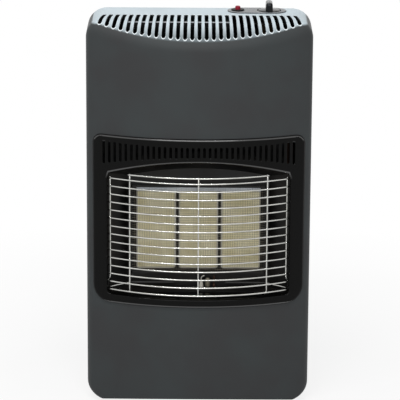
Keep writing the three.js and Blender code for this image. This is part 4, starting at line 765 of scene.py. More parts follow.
def shield_sheet():
    """Aluminised sheet: bright on the side turned back, and painted near black as shade on the side
    turned towards the burners.
    """
    material, tree, place = new_material("aluminised_sheet_with_painted_shade")
    facing = add_node(tree, "ShaderNodeTexCoord").outputs["Normal"]
    backwards = add_node(tree, "ShaderNodeSeparateXYZ", links={"Vector": facing}).outputs["Y"]
    turned_back = add_node(
        tree, "ShaderNodeMapRange", links={"Value": backwards, "From Min": 0.4, "From Max": 0.6},
    ).outputs["Result"]
    # Painted shade on the faces turned towards the burners.
    tone = add_node(
        tree, "ShaderNodeMix", settings={"data_type": "RGBA"},
        links={
            "Factor": turned_back,
            MIX_FIRST: two_toned(tree, place, DARK_SIDE_CLOUD, *OVERSPRAY_AND_SHADE_TONES),
            MIX_SECOND: two_toned(tree, place, SHEET_CLOUD, *ALUMINISED_TONES),
        },
    )
    finish_surface(tree, {
        "Base Color": tone.outputs[MIX_RESULT],
        "Metallic": turned_back,
        "Roughness": drifting(tree, place, 2.5, 0.36, 0.5, 3.0),
        "Normal": grained(tree, place, 2.5, 0.03),
    })
    return material


FINISHES = {
    "cabinet_paint": powder_coated_steel(),
    "black_enamel": vitreous_enamel("vitreous_enamel_black", 0.09),
    # The same enamel drawn thin and glassy over rolled edges, where it catches the light.
    "enamel_edge": vitreous_enamel("vitreous_enamel_rolled_edge", 1.0),
    "chamber_black": stoved_black(),
    "plaque_ceramic": pressed_ceramic(),
    "white_ceramic": glazed_porcelain(),
    # Primed and stoved steel under the cabinet: a dull, slightly brown dark grey.
    "inner_steel": moulded("stoved_primer_on_steel", ("#34332f", "#2e2d2a"), 0.55, 1.2, 0.04),
    # Silver powder coat on the pressed rims of the vents, painted near white as their highlight.
    "rim_silver_highlight": moulded("silver_powder_coat_painted_highlight", ("#ecf3f6", "#e2eaee"), 0.35, 1.6, 0.03),
    "rail_zinc": rail_with_painted_shade(),
    # Sides and underside of the control plate, painted near black and dull as the shadow line round it.
    "plate_edge_shadow": moulded("plate_edge_painted_shadow", ("#0f1010", "#0c0d0d"), 0.6, 0.8, 0.04, gloss=0.08),
    "shield_sheet": shield_sheet(),
    # The back of the painted panels: dark overspray, painted near black as the shade behind the vents.
    "overspray_and_shade": moulded("dark_overspray_and_painted_shade", OVERSPRAY_AND_SHADE_TONES, 0.8, 1.5, 0.05),
    # Gauze, pilot burner: steel browned and dulled by the flames.
    "heat_stained_steel": metal("heat_stained_steel", ("#8a8374", "#777062"), 0.5, 1.0),
    # Hot-dip aluminised sheet: pale, warm, with a soft frost.
    "aluminised_steel": metal(
        "aluminised_sheet_steel", ALUMINISED_TONES, 0.42, 2.5, depth_mm=0.03,
    ),
    # Zinc-plated pressings: blue-white, a little cloudy.
    "zinc_steel": metal("zinc_plated_steel", ZINC_TONES, 0.34, 1.5),
    # Bright chromium plate on drawn wire: near mirror.
    "guard_chrome": metal(
        "chromium_plated_wire", ("#c9c9c5", "#b6b6b2"), 0.2, 3.0, spread=0.05, depth_mm=0.01,
    ),
    # Drawn copper, dulled to brown in the warm cabinet.
    "copper_pipe": metal("drawn_copper_tube", ("#43332b", "#352822"), 0.5, 1.2, (1, 1, 0.2)),
    # Machined brass, dulled inside the warm cabinet, with turning marks.
    "valve_brass": metal("machined_brass", ("#3a3226", "#2f291f"), 0.5, 0.8, (1, 1, 4)),
    # Stainless plate brushed along its length: fine straight lines that spread the light sideways.
    "brushed_plate": metal(
        "brushed_stainless_steel", ("#7c7f82", "#707376"), 0.32, 0.5, (0.03, 1, 1), spread=0.1,
    ),
    # Moulded ABS: an even, slightly soft black, and a clean deep red.
    "black_plastic": moulded("moulded_abs_black", ("#0d0d0d", "#0b0b0b"), 0.45, gloss=0.1),
    "red_plastic": moulded("moulded_abs_red", ("#8a0a28", "#7c0822"), 0.35, 1.5, 0.01),
    # Silicone sleeve: matt dark grey.
    "lead_sleeve": moulded("silicone_lead_sleeve", ("#1b1b1c", "#171718"), 0.5),
    # Chromium plate on a zinc casting, its tone painted dark as the reflection of dark surroundings: a
    # dark mirror, with soft unevenness.
    "knob_chrome": metal(
        "chromium_plated_casting_painted_dark", ("#232425", "#1b1c1d"), 0.16, 2.0, spread=0.05, depth_mm=0.01,
    ),
    # Moulded rubber: matt, nearly black.
    "wheel_rubber": moulded("moulded_rubber_tyre", ("#242425", "#1e1e1f"), 0.6),
}

NODE_SLOTS = {
    "cabinet_paint": ("front_panel", "side_panel_left", "side_panel_right", "top_panel", "rear_cover"),
    "inner_steel": ("base_tray", "valve_bracket"),
    "aluminised_steel": ("burner_housing_left", "burner_housing_middle", "burner_housing_right"),
    "rail_zinc": ("vent_rail",),
    "shield_sheet": ("heat_shield",),
    "heat_stained_steel": ("pilot_burner",),
    "zinc_steel": ("burner_rail", "radiant_mesh", "injector_bar", "stop_washer"),
    "black_enamel": ("bezel_frame",),
    "guard_chrome": ("guard_grille",),
    "chamber_black": ("burner_chamber", "lower_deflector", "pilot_bracket"),
    "plaque_ceramic": ("ceramic_plaque_left", "ceramic_plaque_middle", "ceramic_plaque_right"),
    "white_ceramic": ("spark_electrode",),
    "copper_pipe": (
        "pilot_pipe", "thermocouple", "burner_pipe_left", "burner_pipe_middle", "burner_pipe_right",
    ),
    "valve_brass": (
        "gas_valve", "hose_nozzle", "valve_spindle",
        "injector_left", "injector_middle", "injector_right",
    ),
    "brushed_plate": ("control_plate",),
    "black_plastic": ("igniter_collar", "piezo_igniter"),
    "red_plastic": ("igniter_button",),
    "lead_sleeve": ("ignition_lead",),
    "knob_chrome": ("knob",),
}
CASTER_FINISHES = {
    "mount": "zinc_steel", "fork": "zinc_steel", "axle": "zinc_steel", "wheel": "wheel_rubber",
}


def give_finishes(piece, *names):
    """Gives a piece its finishes, in place of any that it had."""
    piece.data.materials.clear()
    for name in names:
        piece.data.materials.append(FINISHES[name])


def finish_solid(node_name, finish_name):
    """Gives a carried-over solid its finish."""
    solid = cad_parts[node_name]
    give_finishes(solid, finish_name)
    soften(solid)


for slot_name, node_names in NODE_SLOTS.items():
    for solid_name in node_names:
        finish_solid(solid_name, slot_name)
for row_name in CASTER_YS:
    for side_name in CASTER_SIDES:
        for part_name, slot_name in CASTER_FINISHES.items():
            finish_solid(f"caster_{part_name}_{row_name}_{side_name}", slot_name)

# ---------------------------------------------------------------- front panel


def half_width_at(z, inset):
    """Half the cabinet's width at a height: square in the middle, rounded at shoulder and foot."""
    shoulder = TOP_Z - SHOULDER_RADIUS
    if z > shoulder:
        radius = SHOULDER_RADIUS - inset
        return HALF_WIDTH - SHOULDER_RADIUS + math.sqrt(max(0, radius * radius - (z - shoulder) ** 2))
    if z < FOOT_CORNER_Z:
        radius = FOOT_CORNER_RADIUS - inset
        drop = min(FOOT_CORNER_Z - z, radius)
        return HALF_WIDTH - FOOT_CORNER_RADIUS + math.sqrt(radius * radius - drop * drop)
    return HALF_WIDTH - inset


def roll_depth(x):
    """How far back the rolled edge reaches from the bowed face."""
    return ROLL_BACK_Y - FRONT_Y - bow_sag(x)


def roll_rise(x):
    """How far below the top the roll begins."""
    return ROLL_RISE_BASE + ROLL_RISE_SHARE * roll_depth(x)


def front_face_y(x, z, inset=0):
    """The panel's face: the bow, then a quarter ellipse that rolls back over the top."""
    rise = roll_rise(x)
    up = (z - (TOP_Z - rise)) / (rise - inset)
    setback = 0
    if up > 0:
        setback = (roll_depth(x) - inset) * (1 - math.sqrt(max(0, 1 - up * up)))
    return FRONT_Y + inset + bow_sag(x) + setback


def plan_ring(z, inset, back_y):
    """One level of the front half, seen from above, from the left side round to the right."""
    half = half_width_at(z, inset)
    corner = FRONT_CORNER_RADIUS - inset
    side = []
    for i in range(CORNER_STEPS + 1):
        angle = (i / CORNER_STEPS) * math.pi / 2
        x = half - corner + corner * math.cos(angle)
        side.append((x, front_face_y(x, z, inset) + corner * (1 - math.sin(angle))))
    ring = [(-x, y, z) for x, y in side]
    for i in range(1, BOW_STEPS):
        x = (half - corner) * (2 * i / BOW_STEPS - 1)
        ring.append((x, front_face_y(x, z, inset), z))
    ring += [(x, y, z) for x, y in reversed(side)]
    return ring + [(half, back_y, z), (-half, back_y, z)]


def front_block(inset, low_z, back_y):
    """The cabinet's front as a solid block, set in from its face by an inset."""
    foot_steps = 9
    levels = [low_z]
    for i in range(1, foot_steps + 1):
        angle = (i / foot_steps) * math.pi / 2
        levels.append(FOOT_CORNER_Z - (FOOT_CORNER_RADIUS - inset) * math.cos(angle))
    roll_foot = TOP_Z - roll_rise(0)
    straight_steps = 8
    start = levels[-1]
    for i in range(1, straight_steps + 1):
        levels.append(start + (roll_foot - start) * i / straight_steps)
    for i in range(1, ROLL_STEPS + 1):
        angle = (i / ROLL_STEPS) * math.pi / 2
        levels.append(roll_foot + (TOP_Z - inset - roll_foot) * math.sin(angle))
    return closed(*loft([plan_ring(z, inset, back_y) for z in levels]))


def top_vent_frame(index):
    """Where a top vent lies: its middle, length, and directions across, along and out of the roll."""
    rear_x = TOP_VENT_PITCH * index
    low_x = rear_x * TOP_VENT_SPREAD
    share = (index / TOP_VENTS_EACH_SIDE) ** 2
    low_z = TOP_Z - TOP_VENT_MIDDLE_DROP + (TOP_VENT_MIDDLE_DROP - TOP_VENT_SIDE_DROP) * share
    low = Vector((low_x, front_face_y(low_x, low_z), low_z))
    high = Vector((rear_x, TOP_VENT_REAR_Y, TOP_Z))
    along = high - low
    length = along.length
    along.normalize()
    across = (Vector((1, 0, 0)) - along * along.x).normalized()
    return (low + high) / 2, length, across, along, across.cross(along)


# How far cutters pass beyond the sheet that they cut.
CUT_PAST = 10
VENT_CUT_REACH = 16


def upright(a, b, c):
    """Stands an outline up across the cabinet, so that a prism runs from front to back."""
    return (a, c, b)


def top_vent_outline(length, grow=0):
    """A top vent's outline, grown by a margin."""
    reach = length / 2 + grow
    return upright_slot(0, -reach, reach, TOP_VENT_WIDTH / 2 + grow)


def top_vent_cutter(index):
    """What one vent leaves out, square to the roll."""
    middle, length, across, along, out = top_vent_frame(index)

    def place(a, b, c):
        return tuple(middle + across * a + along * b + out * c)

    return prism(top_vent_outline(length), -VENT_CUT_REACH, VENT_CUT_REACH, place)


# A vent's pressed rim: (outwards from the cut edge, above the face), and how much wider it is
# at its lower end.
RIM_SECTION = [
    (1.0, -0.3), (0.85, 0.1), (0.6, 0.32), (0.3, 0.34), (0.08, 0.12), (0, -0.4),
    (0, -2.6), (0.5, -2.6), (0.5, -1.4),
]
LOW_RIM_EXTRA = 1.2
# The face is found from this far outside it.
RIM_PROBE_REACH = 40


def top_vent_rim(index, skin):
    """The rim pressed round one vent, following the roll."""
    middle, length, across, along, out = top_vent_frame(index)
    rings = []
    for grow, lift in RIM_SECTION:
        ring = []
        for a, b in top_vent_outline(length, grow):
            low_share = max(0, -b - length / 2 + TOP_VENT_WIDTH / 2) / (TOP_VENT_WIDTH / 2 + grow)
            lower = b - LOW_RIM_EXTRA * grow * low_share
            start = middle + across * a + along * lower + out * RIM_PROBE_REACH
            spot, normal, _, _ = skin.ray_cast(start, -out)
            ring.append(spot + normal * lift)
        rings.append(ring)
    return closed(*loft(rings + [rings[0]], ends=False))


def lower_edge_trim():
    """What the arched lower edge of the skirt leaves out."""
    reach = HALF_WIDTH + 2 * CUT_PAST
    steps = 48
    outline = [(-reach, -2 * CUT_PAST), (reach, -2 * CUT_PAST)]
    for i in range(steps + 1):
        x = reach * (1 - 2 * i / steps)
        outline.append((x, SKIRT_Z - SKIRT_ARCH_SHARE * bow_sag(x)))
    return prism(outline, FRONT_Y - CUT_PAST, CREST_Y + CUT_PAST, upright)


def control_holes(low, high):
    """The round holes for the knob and the igniter."""
    holes = []
    for x, radius in ((KNOB_X, KNOB_HOLE_RADIUS), (IGNITER_X, IGNITER_HOLE_RADIUS)):
        profile = [(0, low), (radius, low), (radius, high), (0, high)]
        holes.append(turned(profile, (x, PLATE_CENTRE_Y, 0)))
    return joined(*holes)


def dress_front_panel():
    """The painted front: a block hollowed to sheet, cut open, with a rim laid round each vent."""
    outer = front_block(0, 0, CREST_Y)
    skin = BVHTree.FromPolygons([Vector(p) for p in outer[0]], outer[1])
    blank = new_piece("front_panel_blank", *outer)
    carve(blank, front_block(SHEET, -2 * CUT_PAST, CREST_Y + 2 * CUT_PAST))
    far = HALF_WIDTH + CUT_PAST
    carve(blank, box((-far, far), (SIDE_RETURN_Y, CREST_Y + CUT_PAST), (-CUT_PAST, HOOD_FOOT_Z)))
    carve(blank, lower_edge_trim())
    window = rounded_rectangle(
        -WINDOW_HALF_WIDTH, WINDOW_BOTTOM_Z, WINDOW_HALF_WIDTH, WINDOW_TOP_Z, WINDOW_CORNER_RADIUS,
    )
    carve(blank, prism(window, FRONT_Y - CUT_PAST, WINDOW_BACK_Y, upright))
    indexes = range(-TOP_VENTS_EACH_SIDE, TOP_VENTS_EACH_SIDE + 1)
    carve(blank, joined(*[top_vent_cutter(i) for i in indexes]))
    carve(blank, control_holes(TOP_Z - CUT_PAST, TOP_Z + CUT_PAST))
    sheet = shape_of(blank)
    bpy.data.objects.remove(blank)
    rims = joined(*[top_vent_rim(i, skin) for i in indexes])
    panel = new_piece(
        "front_panel_skin", *joined(sheet, rims), None, "cabinet", "cabinet_paint", 30,
    )
    give_finishes(panel, "cabinet_paint", "overspray_and_shade", "rim_silver_highlight")
    # Faces inside the sheet take the overspray, painted near black as the shade behind the vents; the
    # rims take the rim silver, painted as highlight.
    for face in panel.data.polygons:
        _, _, _, depth = skin.find_nearest(face.center / MM)
        if depth > SHEET / 2:
            face.material_index = 1
        elif face.index >= len(sheet[1]):
            face.material_index = 2
    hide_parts("front_panel")


dress_front_panel()

# ---------------------------------------------------------------- bezel


def mouth_arch_z(x, grow=0):
    """The height of the mouth's arched top, grown by a margin."""
    rise = MOUTH_TOP_Z - MOUTH_SIDE_Z
    return MOUTH_SIDE_Z + grow + rise * (1 - (x / (MOUTH_HALF_WIDTH + grow)) ** 2)


def mouth_outline(grow, arch_steps=60):
    """The mouth, grown by a margin: round lower corners, upright sides and an arched top."""
    half = MOUTH_HALF_WIDTH + grow
    bottom = MOUTH_BOTTOM_Z - grow
    side = MOUTH_SIDE_Z + grow
    corner = MOUTH_CORNER_RADIUS + grow
    outline = arc(half - corner, bottom + corner, corner, -90, 0, 8)
    outline.append((half, side - corner))
    for i in range(arch_steps + 1):
        x = (half - corner / 3) * (1 - 2 * i / arch_steps)
        outline.append((x, mouth_arch_z(x, grow)))
    outline.append((-half, side - corner))
    outline += arc(-half + corner, bottom + corner, corner, 180, 270, 8)
    return outline + level_edge(half - corner, bottom)


def bezel_outline(inset):
    """The bezel's outer edge, set in by an inset."""
    half = BEZEL_HALF_WIDTH - inset
    low = BEZEL_BOTTOM_Z + inset
    high = BEZEL_TOP_Z - inset
    lower = BEZEL_BOTTOM_RADIUS - inset
    upper = BEZEL_TOP_RADIUS - inset
    straight = half - upper
    outline = arc(half - lower, low + lower, lower, -90, 0, 14)
    outline += arc(half - upper, high - upper, upper, 0, 90, 10)
    steps = 30
    for i in range(1, steps):
        x = straight * (1 - 2 * i / steps)
        outline.append((x, high))
    outline += arc(-straight, high - upper, upper, 90, 180, 10)
    outline += arc(-half + lower, low + lower, lower, 180, 270, 14)
    return outline + level_edge(half - lower, low)


def rolled(distance, radius):
    """How far a rolled edge has turned away at a distance in from its end."""
    short = max(0.0, radius - distance)
    return radius - math.sqrt(radius * radius - short * short)


def bezel_vents(grow):
    """The bezel's row of upright slots, which grow longer towards the sides."""
    span = BEZEL_VENTS_EACH_SIDE * BEZEL_VENT_PITCH
    outlines = []
    for i in range(-BEZEL_VENTS_EACH_SIDE, BEZEL_VENTS_EACH_SIDE + 1):
        x = i * BEZEL_VENT_PITCH
        share = (x / span) ** 2
        top = BEZEL_VENT_TOP_Z + BEZEL_VENT_TOP_RISE * share + grow
        bottom = BEZEL_VENT_BOTTOM_Z - BEZEL_VENT_BOTTOM_DROP * share - grow
        outlines.append(upright_slot(x, bottom, top, BEZEL_VENT_WIDTH / 2 + grow, 6))
    return outlines


# Where the enamel is glassy: how far back on a rolled edge, over the mouth's arch and on the
# crests of the top and lower edges.
GLASSY_BACK = (0.1, MOUTH_EDGE_ROLL + 0.4)
GLASSY_OVER_ARCH = (-3, MOUTH_EDGE_ROLL + 1)
GLASSY_CREST_BACK = 0.7
GLASSY_TOP_BAND = 12
GLASSY_FOOT_BAND = 4
GLASSY_FACING = 0.1


def is_glassy_edge(spot, normal):
    """Whether a spot lies on a rolled edge where the enamel is drawn thin and catches the light."""
    x, y, z = spot
    back = y - (FRONT_Y - BEZEL_PROUD + bow_sag(x))
    on_arch = GLASSY_OVER_ARCH[0] < z - mouth_arch_z(x) < GLASSY_OVER_ARCH[1]
    by_edge = z > BEZEL_TOP_Z - GLASSY_TOP_BAND or z < BEZEL_BOTTOM_Z + GLASSY_FOOT_BAND
    on_crest = back < GLASSY_CREST_BACK and by_edge
    on_roll = GLASSY_BACK[0] < back < GLASSY_BACK[1] and abs(normal.y) > GLASSY_FACING
    return on_roll and (on_arch or on_crest)


def dress_bezel():
    """The bezel as one pressed sheet: rings round each opening carry its rolled edge."""
    flat, depth, edges = [], [], []

    def add_ring(outline, back):
        start = len(flat)
        flat.extend(Vector(p) for p in outline)
        depth.extend([back] * len(outline))
        edges.extend((start + i, start + (i + 1) % len(outline)) for i in range(len(outline)))
        return list(range(start, len(flat)))

    edge_roll = BEZEL_PROUD - GAP
    for inset in (0, 0.3, 1.0, 1.5, 2.3, edge_roll):
        add_ring(bezel_outline(inset), rolled(inset, edge_roll))
    mouth_rings = [
        add_ring(mouth_outline(grow), rolled(grow, MOUTH_EDGE_ROLL))
        for grow in (0, 0.25, 0.8, 1.8, MOUTH_EDGE_ROLL)
    ]
    for grow in (0, 0.2, 0.65, BEZEL_VENT_ROLL):
        for outline in bezel_vents(grow):
            add_ring(outline, rolled(grow, BEZEL_VENT_ROLL))
    # A grid between the rings lets the sheet follow the bow.
    outer = bezel_outline(0)
    keep_in = bezel_outline(edge_roll + 1)
    keep_out = [mouth_outline(MOUTH_EDGE_ROLL + 1)] + bezel_vents(BEZEL_VENT_ROLL + 0.6)
    reach = round(BEZEL_HALF_WIDTH / BEZEL_GRID)
    for column in range(-reach, reach + 1):
        for row in range(round(BEZEL_BOTTOM_Z / BEZEL_GRID), round(BEZEL_TOP_Z / BEZEL_GRID) + 1):
            spot = (column * BEZEL_GRID, row * BEZEL_GRID)
            if inside(spot, keep_in) and not any(inside(spot, hole) for hole in keep_out):
                flat.append(Vector(spot))
                depth.append(0)
    made, _, triangles, origins, _, _ = delaunay_2d_cdt(flat, edges, [], 0, 1e-5)
    holes = [mouth_outline(0)] + bezel_vents(0)
    faces = []
    for face in triangles:
        centre = sum((made[i] for i in face), Vector((0, 0))) / 3
        if inside(centre, outer) and not any(inside(centre, hole) for hole in holes):
            faces.append(list(face))
    # The sheet takes its height from the outlines and its depth from the bow and the rolled edges.
    number = {}
    points = []
    for i, spot in enumerate(made):
        back = depth[origins[i][0]] if origins[i] else 0
        points.append((spot.x, FRONT_Y - BEZEL_PROUD + bow_sag(spot.x) + back, spot.y))
        for source in origins[i]:
            number[source] = i
    # The mouth's lip runs straight back from its edge.
    previous = [number[i] for i in mouth_rings[0]]
    starts = [Vector(points[i]) for i in previous]
    for row in range(1, MOUTH_LIP_ROWS + 1):
        share = row / MOUTH_LIP_ROWS
        current = []
        for start in starts:
            current.append(len(points))
            points.append((start.x, start.y + (MOUTH_LIP_BACK_Y - start.y) * share, start.z))
        for i in range(len(current)):
            after = (i + 1) % len(current)
            faces.append([previous[i], previous[after], current[after], current[i]][::-1])
        previous = current
    bezel = new_piece("bezel_skin", points, faces, None, "cabinet", "black_enamel", 50)
    give_finishes(bezel, "black_enamel", "enamel_edge")
    for face in bezel.data.polygons:
        if is_glassy_edge(face.center / MM, face.normal):
            face.material_index = 1
    wall = bezel.modifiers.new("steel", "SOLIDIFY")
    wall.thickness = BEZEL_THICKNESS * MM
    wall.offset = -1
    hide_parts("bezel_frame")


dress_bezel()

# ---------------------------------------------------------------- wire guard


def guard_arc(z, half_width, steps=36):
    """The path of one bowed wire."""
    angle = math.asin(half_width / GUARD_RADIUS)
    front = GUARD_FRONT_Y + GUARD_WIRE_RADIUS
    path = []
    for i in range(steps + 1):
        turn = angle * (2 * i / steps - 1)
        path.append((GUARD_RADIUS * math.sin(turn), front + GUARD_RADIUS * (1 - math.cos(turn)), z))
    return path


def guard_rib_y(x):
    """How far back an upright rib stands, sunk a little into the wires by its welds."""
    return GUARD_FRONT_Y + bow_sag(x, GUARD_RADIUS) + 3 * GUARD_WIRE_RADIUS - GUARD_WELD


def dress_guard():
    """Chromed round wires: bowed rows welded in front of upright ribs that hook on behind."""
    radius = GUARD_WIRE_RADIUS
    rows = [GUARD_BOTTOM_Z + row * GUARD_PITCH for row in range(GUARD_ROWS)]
    wires = [tube(guard_arc(z, GUARD_HALF_WIDTH), radius) for z in rows]
    wires.append(tube(guard_arc(GUARD_TOP_ROW_Z, GUARD_TOP_ROW_HALF), radius))
    low = GUARD_BOTTOM_Z - GUARD_RIB_BELOW
    high = GUARD_TOP_ROW_Z + GUARD_RIB_ABOVE
    welds = []
    for x in (-GUARD_RIB_X, 0, GUARD_RIB_X):
        y = guard_rib_y(x)
        wires.append(tube([(x, y, low + (high - low) * i / 12) for i in range(13)], radius))
        welds += [(x, y - radius, z) for z in rows + [GUARD_TOP_ROW_Z]]
    for side in (-1, 1):
        x = side * GUARD_SIDE_RIB_X
        y = guard_rib_y(x)
        hook = [
            (side * (GUARD_SIDE_RIB_X + out), MOUTH_LIP_BACK_Y + back, z) for out, back, z in GUARD_HOOK
        ]
        hook += [(x, y, z) for z in (*GUARD_SIDE_RIB_ZS, rows[-1] + GUARD_SIDE_RIB_ABOVE)]
        wires.append(tube(smooth_route(hook), radius))
        welds += [(x, y - radius, z) for z in rows[2:]]
        rib_y = guard_rib_y(GUARD_RIB_X)
        middle_out, middle_z = GUARD_FOOT_MIDDLE
        end_out, end_back, end_z = GUARD_FOOT_END
        foot = [
            (side * GUARD_RIB_X, rib_y, GUARD_FOOT_TOP_Z),
            (side * (GUARD_RIB_X + middle_out), (rib_y + MOUTH_LIP_BACK_Y) / 2, middle_z),
            (side * (GUARD_SIDE_RIB_X + end_out), MOUTH_LIP_BACK_Y + end_back, end_z),
        ]
        wires.append(tube(smooth_route(foot), radius))
    beads = [bead(spot, GUARD_BEAD) for spot in welds]
    guard = new_piece(
        "guard_wires", *joined(*wires, *beads), FINISHES["guard_chrome"], "cabinet", "guard_chrome", 60,
    )
    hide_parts("guard_grille")


dress_guard()

# ---------------------------------------------------------------- burners

BURNER_BOTTOM_Z = 260.2
BURNER_TOP_Z = 417
MESH_HALF_WIDTH = 127.5
MESH_Y = -146
CHAMBER_BACK_Y = -128
GAUZE_BELOW = 8
GAUZE_ABOVE = 6
GAUZE_FRAME = 3
GAUZE_FRAME_SHEET = 1
GAUZE_PITCH = 4.6
GAUZE_WIRE = 0.4


def dress_radiant_gauze():
    """Woven steel gauze in a folded frame, at about twice the real pitch."""
    low = BURNER_BOTTOM_Z - GAUZE_BELOW
    high = BURNER_TOP_Z + GAUZE_ABOVE
    edge = GAUZE_FRAME
    half = MESH_HALF_WIDTH
    sheet = GAUZE_FRAME_SHEET
    face = (MESH_Y, MESH_Y + sheet)
    flange = (MESH_Y, CHAMBER_BACK_Y - GAP)
    bars = [
        box((-half, half), face, (low, low + edge)),
        box((-half, half), face, (high - edge, high)),
        box((-half, -half + edge), face, (low, high)),
        box((half - edge, half), face, (low, high)),
        box((-half, -half + sheet), flange, (low, high)),
        box((half - sheet, half), flange, (low, high)),
    ]
    across = round(2 * (half - edge) / GAUZE_PITCH)
    up = round((high - low - 2 * edge) / GAUZE_PITCH)
    columns = [-half + edge + 2 * (half - edge) * i / across for i in range(1, across)]
    rows = [low + edge + (high - low - 2 * edge) * i / up for i in range(1, up)]
    middle = MESH_Y + sheet / 2
    # Each wire passes over and under the others by its own radius.
    wave = GAUZE_WIRE / 2
    wires = []
    for c, x in enumerate(columns):
        path = [(x, middle, low + sheet)]
        path += [(x, middle + (wave if (c + r) % 2 else -wave), z) for r, z in enumerate(rows)]
        wires.append(tube(path + [(x, middle, high - sheet)], wave, 4, False))
    for r, z in enumerate(rows):
        path = [(-half + sheet, middle, z)]
        path += [(x, middle - (wave if (c + r) % 2 else -wave), z) for c, x in enumerate(columns)]
        wires.append(tube(path + [(half - sheet, middle, z)], wave, 4, False))
    gauze = new_piece("radiant_gauze", *joined(*bars, *wires), None, "cabinet", "zinc_steel")
    give_finishes(gauze, "heat_stained_steel", "chamber_black")
    for face in gauze.data.polygons[:sum(len(faces) for _, faces in bars)]:
        face.material_index = 1
    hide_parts("radiant_mesh")


dress_radiant_gauze()

# ---------------------------------------------------------------- controls


def dress_control_plate():
    """Brushed plate with a softened upper edge, its sides painted near black as the shadow line round
    it.
    """
    half = (PLATE_LENGTH - PLATE_DEPTH) / 2
    top = PLATE_TOP_Z
    rings = []
    for inset, z in ((0, TOP_Z + GAP), (0, top - 0.5), (0.15, top - 0.15), (0.5, top)):
        outline = stadium(PLATE_CENTRE_X, PLATE_CENTRE_Y, half, PLATE_DEPTH / 2 - inset)
        rings.append([(x, y, z) for x, y in outline])
    plate = new_piece("control_plate_brushed", *closed(*loft(rings)))
    carve(plate, control_holes(TOP_Z - CUT_PAST, PLATE_TOP_Z + CUT_PAST))
    give_finishes(plate, "brushed_plate", "plate_edge_shadow")
    # Painted shadow: faces that do not face up take the near-black edge finish.
    for face in plate.data.polygons:
        if face.normal.z < 0.3:
            face.material_index = 1
    soften(plate, 25)
    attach(plate, "cabinet")
    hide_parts("control_plate")


# The knob's skirt starts below the plate's face.
KNOB_SKIRT_SINK = 3
KNOB_SKIRT_HEIGHT = 4
# Its finger blade from foot to crest: (share of the height, half the length).
KNOB_BLADE = [(0, 19.5), (0.15, 19.5), (0.75, 18.4), (0.92, 17.6), (0.98, 16.8), (1, 15.6)]
KNOB_BLADE_HALF_THICKNESS = 7


def dress_knob():
    """Chromed casting, its tone painted dark as a reflection of dark surroundings: a low round skirt
    with a tapered finger blade across it.
    """
    low = PLATE_TOP_Z - KNOB_SKIRT_SINK
    top = low + KNOB_SKIRT_HEIGHT
    rim = KNOB_RADIUS
    skirt = turned([
        (0, low), (rim - 0.6, low), (rim, low + 0.5), (rim, top - 1.7), (rim - 0.5, top - 0.9),
        (rim - 1.4, top - 0.3), (rim - 3, top), (14, top + 0.5), (8, top + 1.1), (0, top + 1.3),
    ], (KNOB_X, PLATE_CENTRE_Y, 0), 72)
    rings = []
    for share, length in KNOB_BLADE:
        z = top - 1 + (KNOB_TOP_Z - top + 1) * share
        crest = 1 if share < 0.9 else 1 - 4 * (share - 0.9)
        thick = (KNOB_BLADE_HALF_THICKNESS - 0.8 * share) * crest
        outline = rounded_rectangle(-thick, -length, thick, length, min(thick * 0.9, 4), 6)
        rings.append([(KNOB_X + x, PLATE_CENTRE_Y + y, z) for x, y in outline])
    blade = closed(*loft(rings))
    knob = new_piece("knob_chromed", *joined(skirt, blade), None, "knob", "knob_chrome", 40)
    give_finishes(knob, "knob_chrome")
    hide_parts("knob")


def dress_igniter():
    """A red domed button in a black collar."""
    centre = (IGNITER_X, PLATE_CENTRE_Y, 0)
    radius = BUTTON_RADIUS
    foot = TOP_Z - BUTTON_DEPTH
    top = BUTTON_TOP_Z
    cap = turned([
        (0, foot), (radius, foot), (radius, top - 2), (radius - 0.3, top - 1.2),
        (radius - 0.9, top - 0.6), (radius - 1.9, top - 0.2), (0, top),
    ], centre, 40)
    button = new_piece(
        "igniter_cap", *cap, FINISHES["red_plastic"], "igniter_button", "red_plastic", 40,
    )
    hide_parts("igniter_button")
    bore = BUTTON_RADIUS + BUTTON_PLAY
    foot = TOP_Z - IGNITER_COLLAR_DEPTH
    low = PLATE_TOP_Z + GAP
    sleeve = IGNITER_HOLE_RADIUS - 0.5
    rim = IGNITER_COLLAR_RADIUS
    ring = turned([
        (bore, foot), (sleeve, foot), (sleeve, low), (rim, low), (rim, low + 0.5),
        (rim - 0.3, low + 1.0), (rim - 1.0, low + 1.5), (rim - 2.0, low + 1.8), (bore + 1.2, low + 1.8),
        (bore + 0.3, low + 1.5), (bore, low + 0.9), (bore, foot),
    ], centre, 48)
    collar = new_piece(
        "igniter_ring", *ring, FINISHES["black_plastic"], "cabinet", "black_plastic", 40,
    )
    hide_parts("igniter_collar")


dress_control_plate()
dress_knob()
dress_igniter()

# ---------------------------------------------------------------- caster wheels


def dress_wheels():
    """Rubber tyres on black moulded hubs."""
    half = WHEEL_WIDTH / 2
    bore = AXLE_RADIUS + 0.5
    hub = HUB_RADIUS
    tyre_profile = both_ways([
        (hub, -half + 1.5), (13.4, -half + 0.4), (14.5, -half), (16.6, -half),
        (18.0, -half + 0.7), (18.8, -half + 1.8), (WHEEL_RADIUS, -half + 3.2),
    ])
    hub_profile = both_ways([
        (bore, -half), (5.6, -half), (6.2, -half + 0.6), (6.6, -half + 2.6),
        (10.6, -half + 3.0), (11.4, -half + 1.6), (hub + 0.2, -half + 1.3),
    ])
    for row, y in CASTER_YS.items():
        for side_name, side in CASTER_SIDES.items():
            place = f"{row}_{side_name}"
            body = f"caster_wheel_{place}"
            centre = (side * CASTER_X, y + CASTER_TRAIL, WHEEL_RADIUS)
            tyre = new_piece(
                f"caster_tyre_{place}", *turned(tyre_profile, centre, 56, "x"),
                FINISHES["wheel_rubber"], body, "wheel_rubber", 45,
            )
            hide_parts(body)
            new_piece(
                f"caster_hub_{place}", *turned(hub_profile, centre, 40, "x"),
                FINISHES["black_plastic"], body, "wheel_rubber", 45,
            )


dress_wheels()

# ---------------------------------------------------------------- fasteners

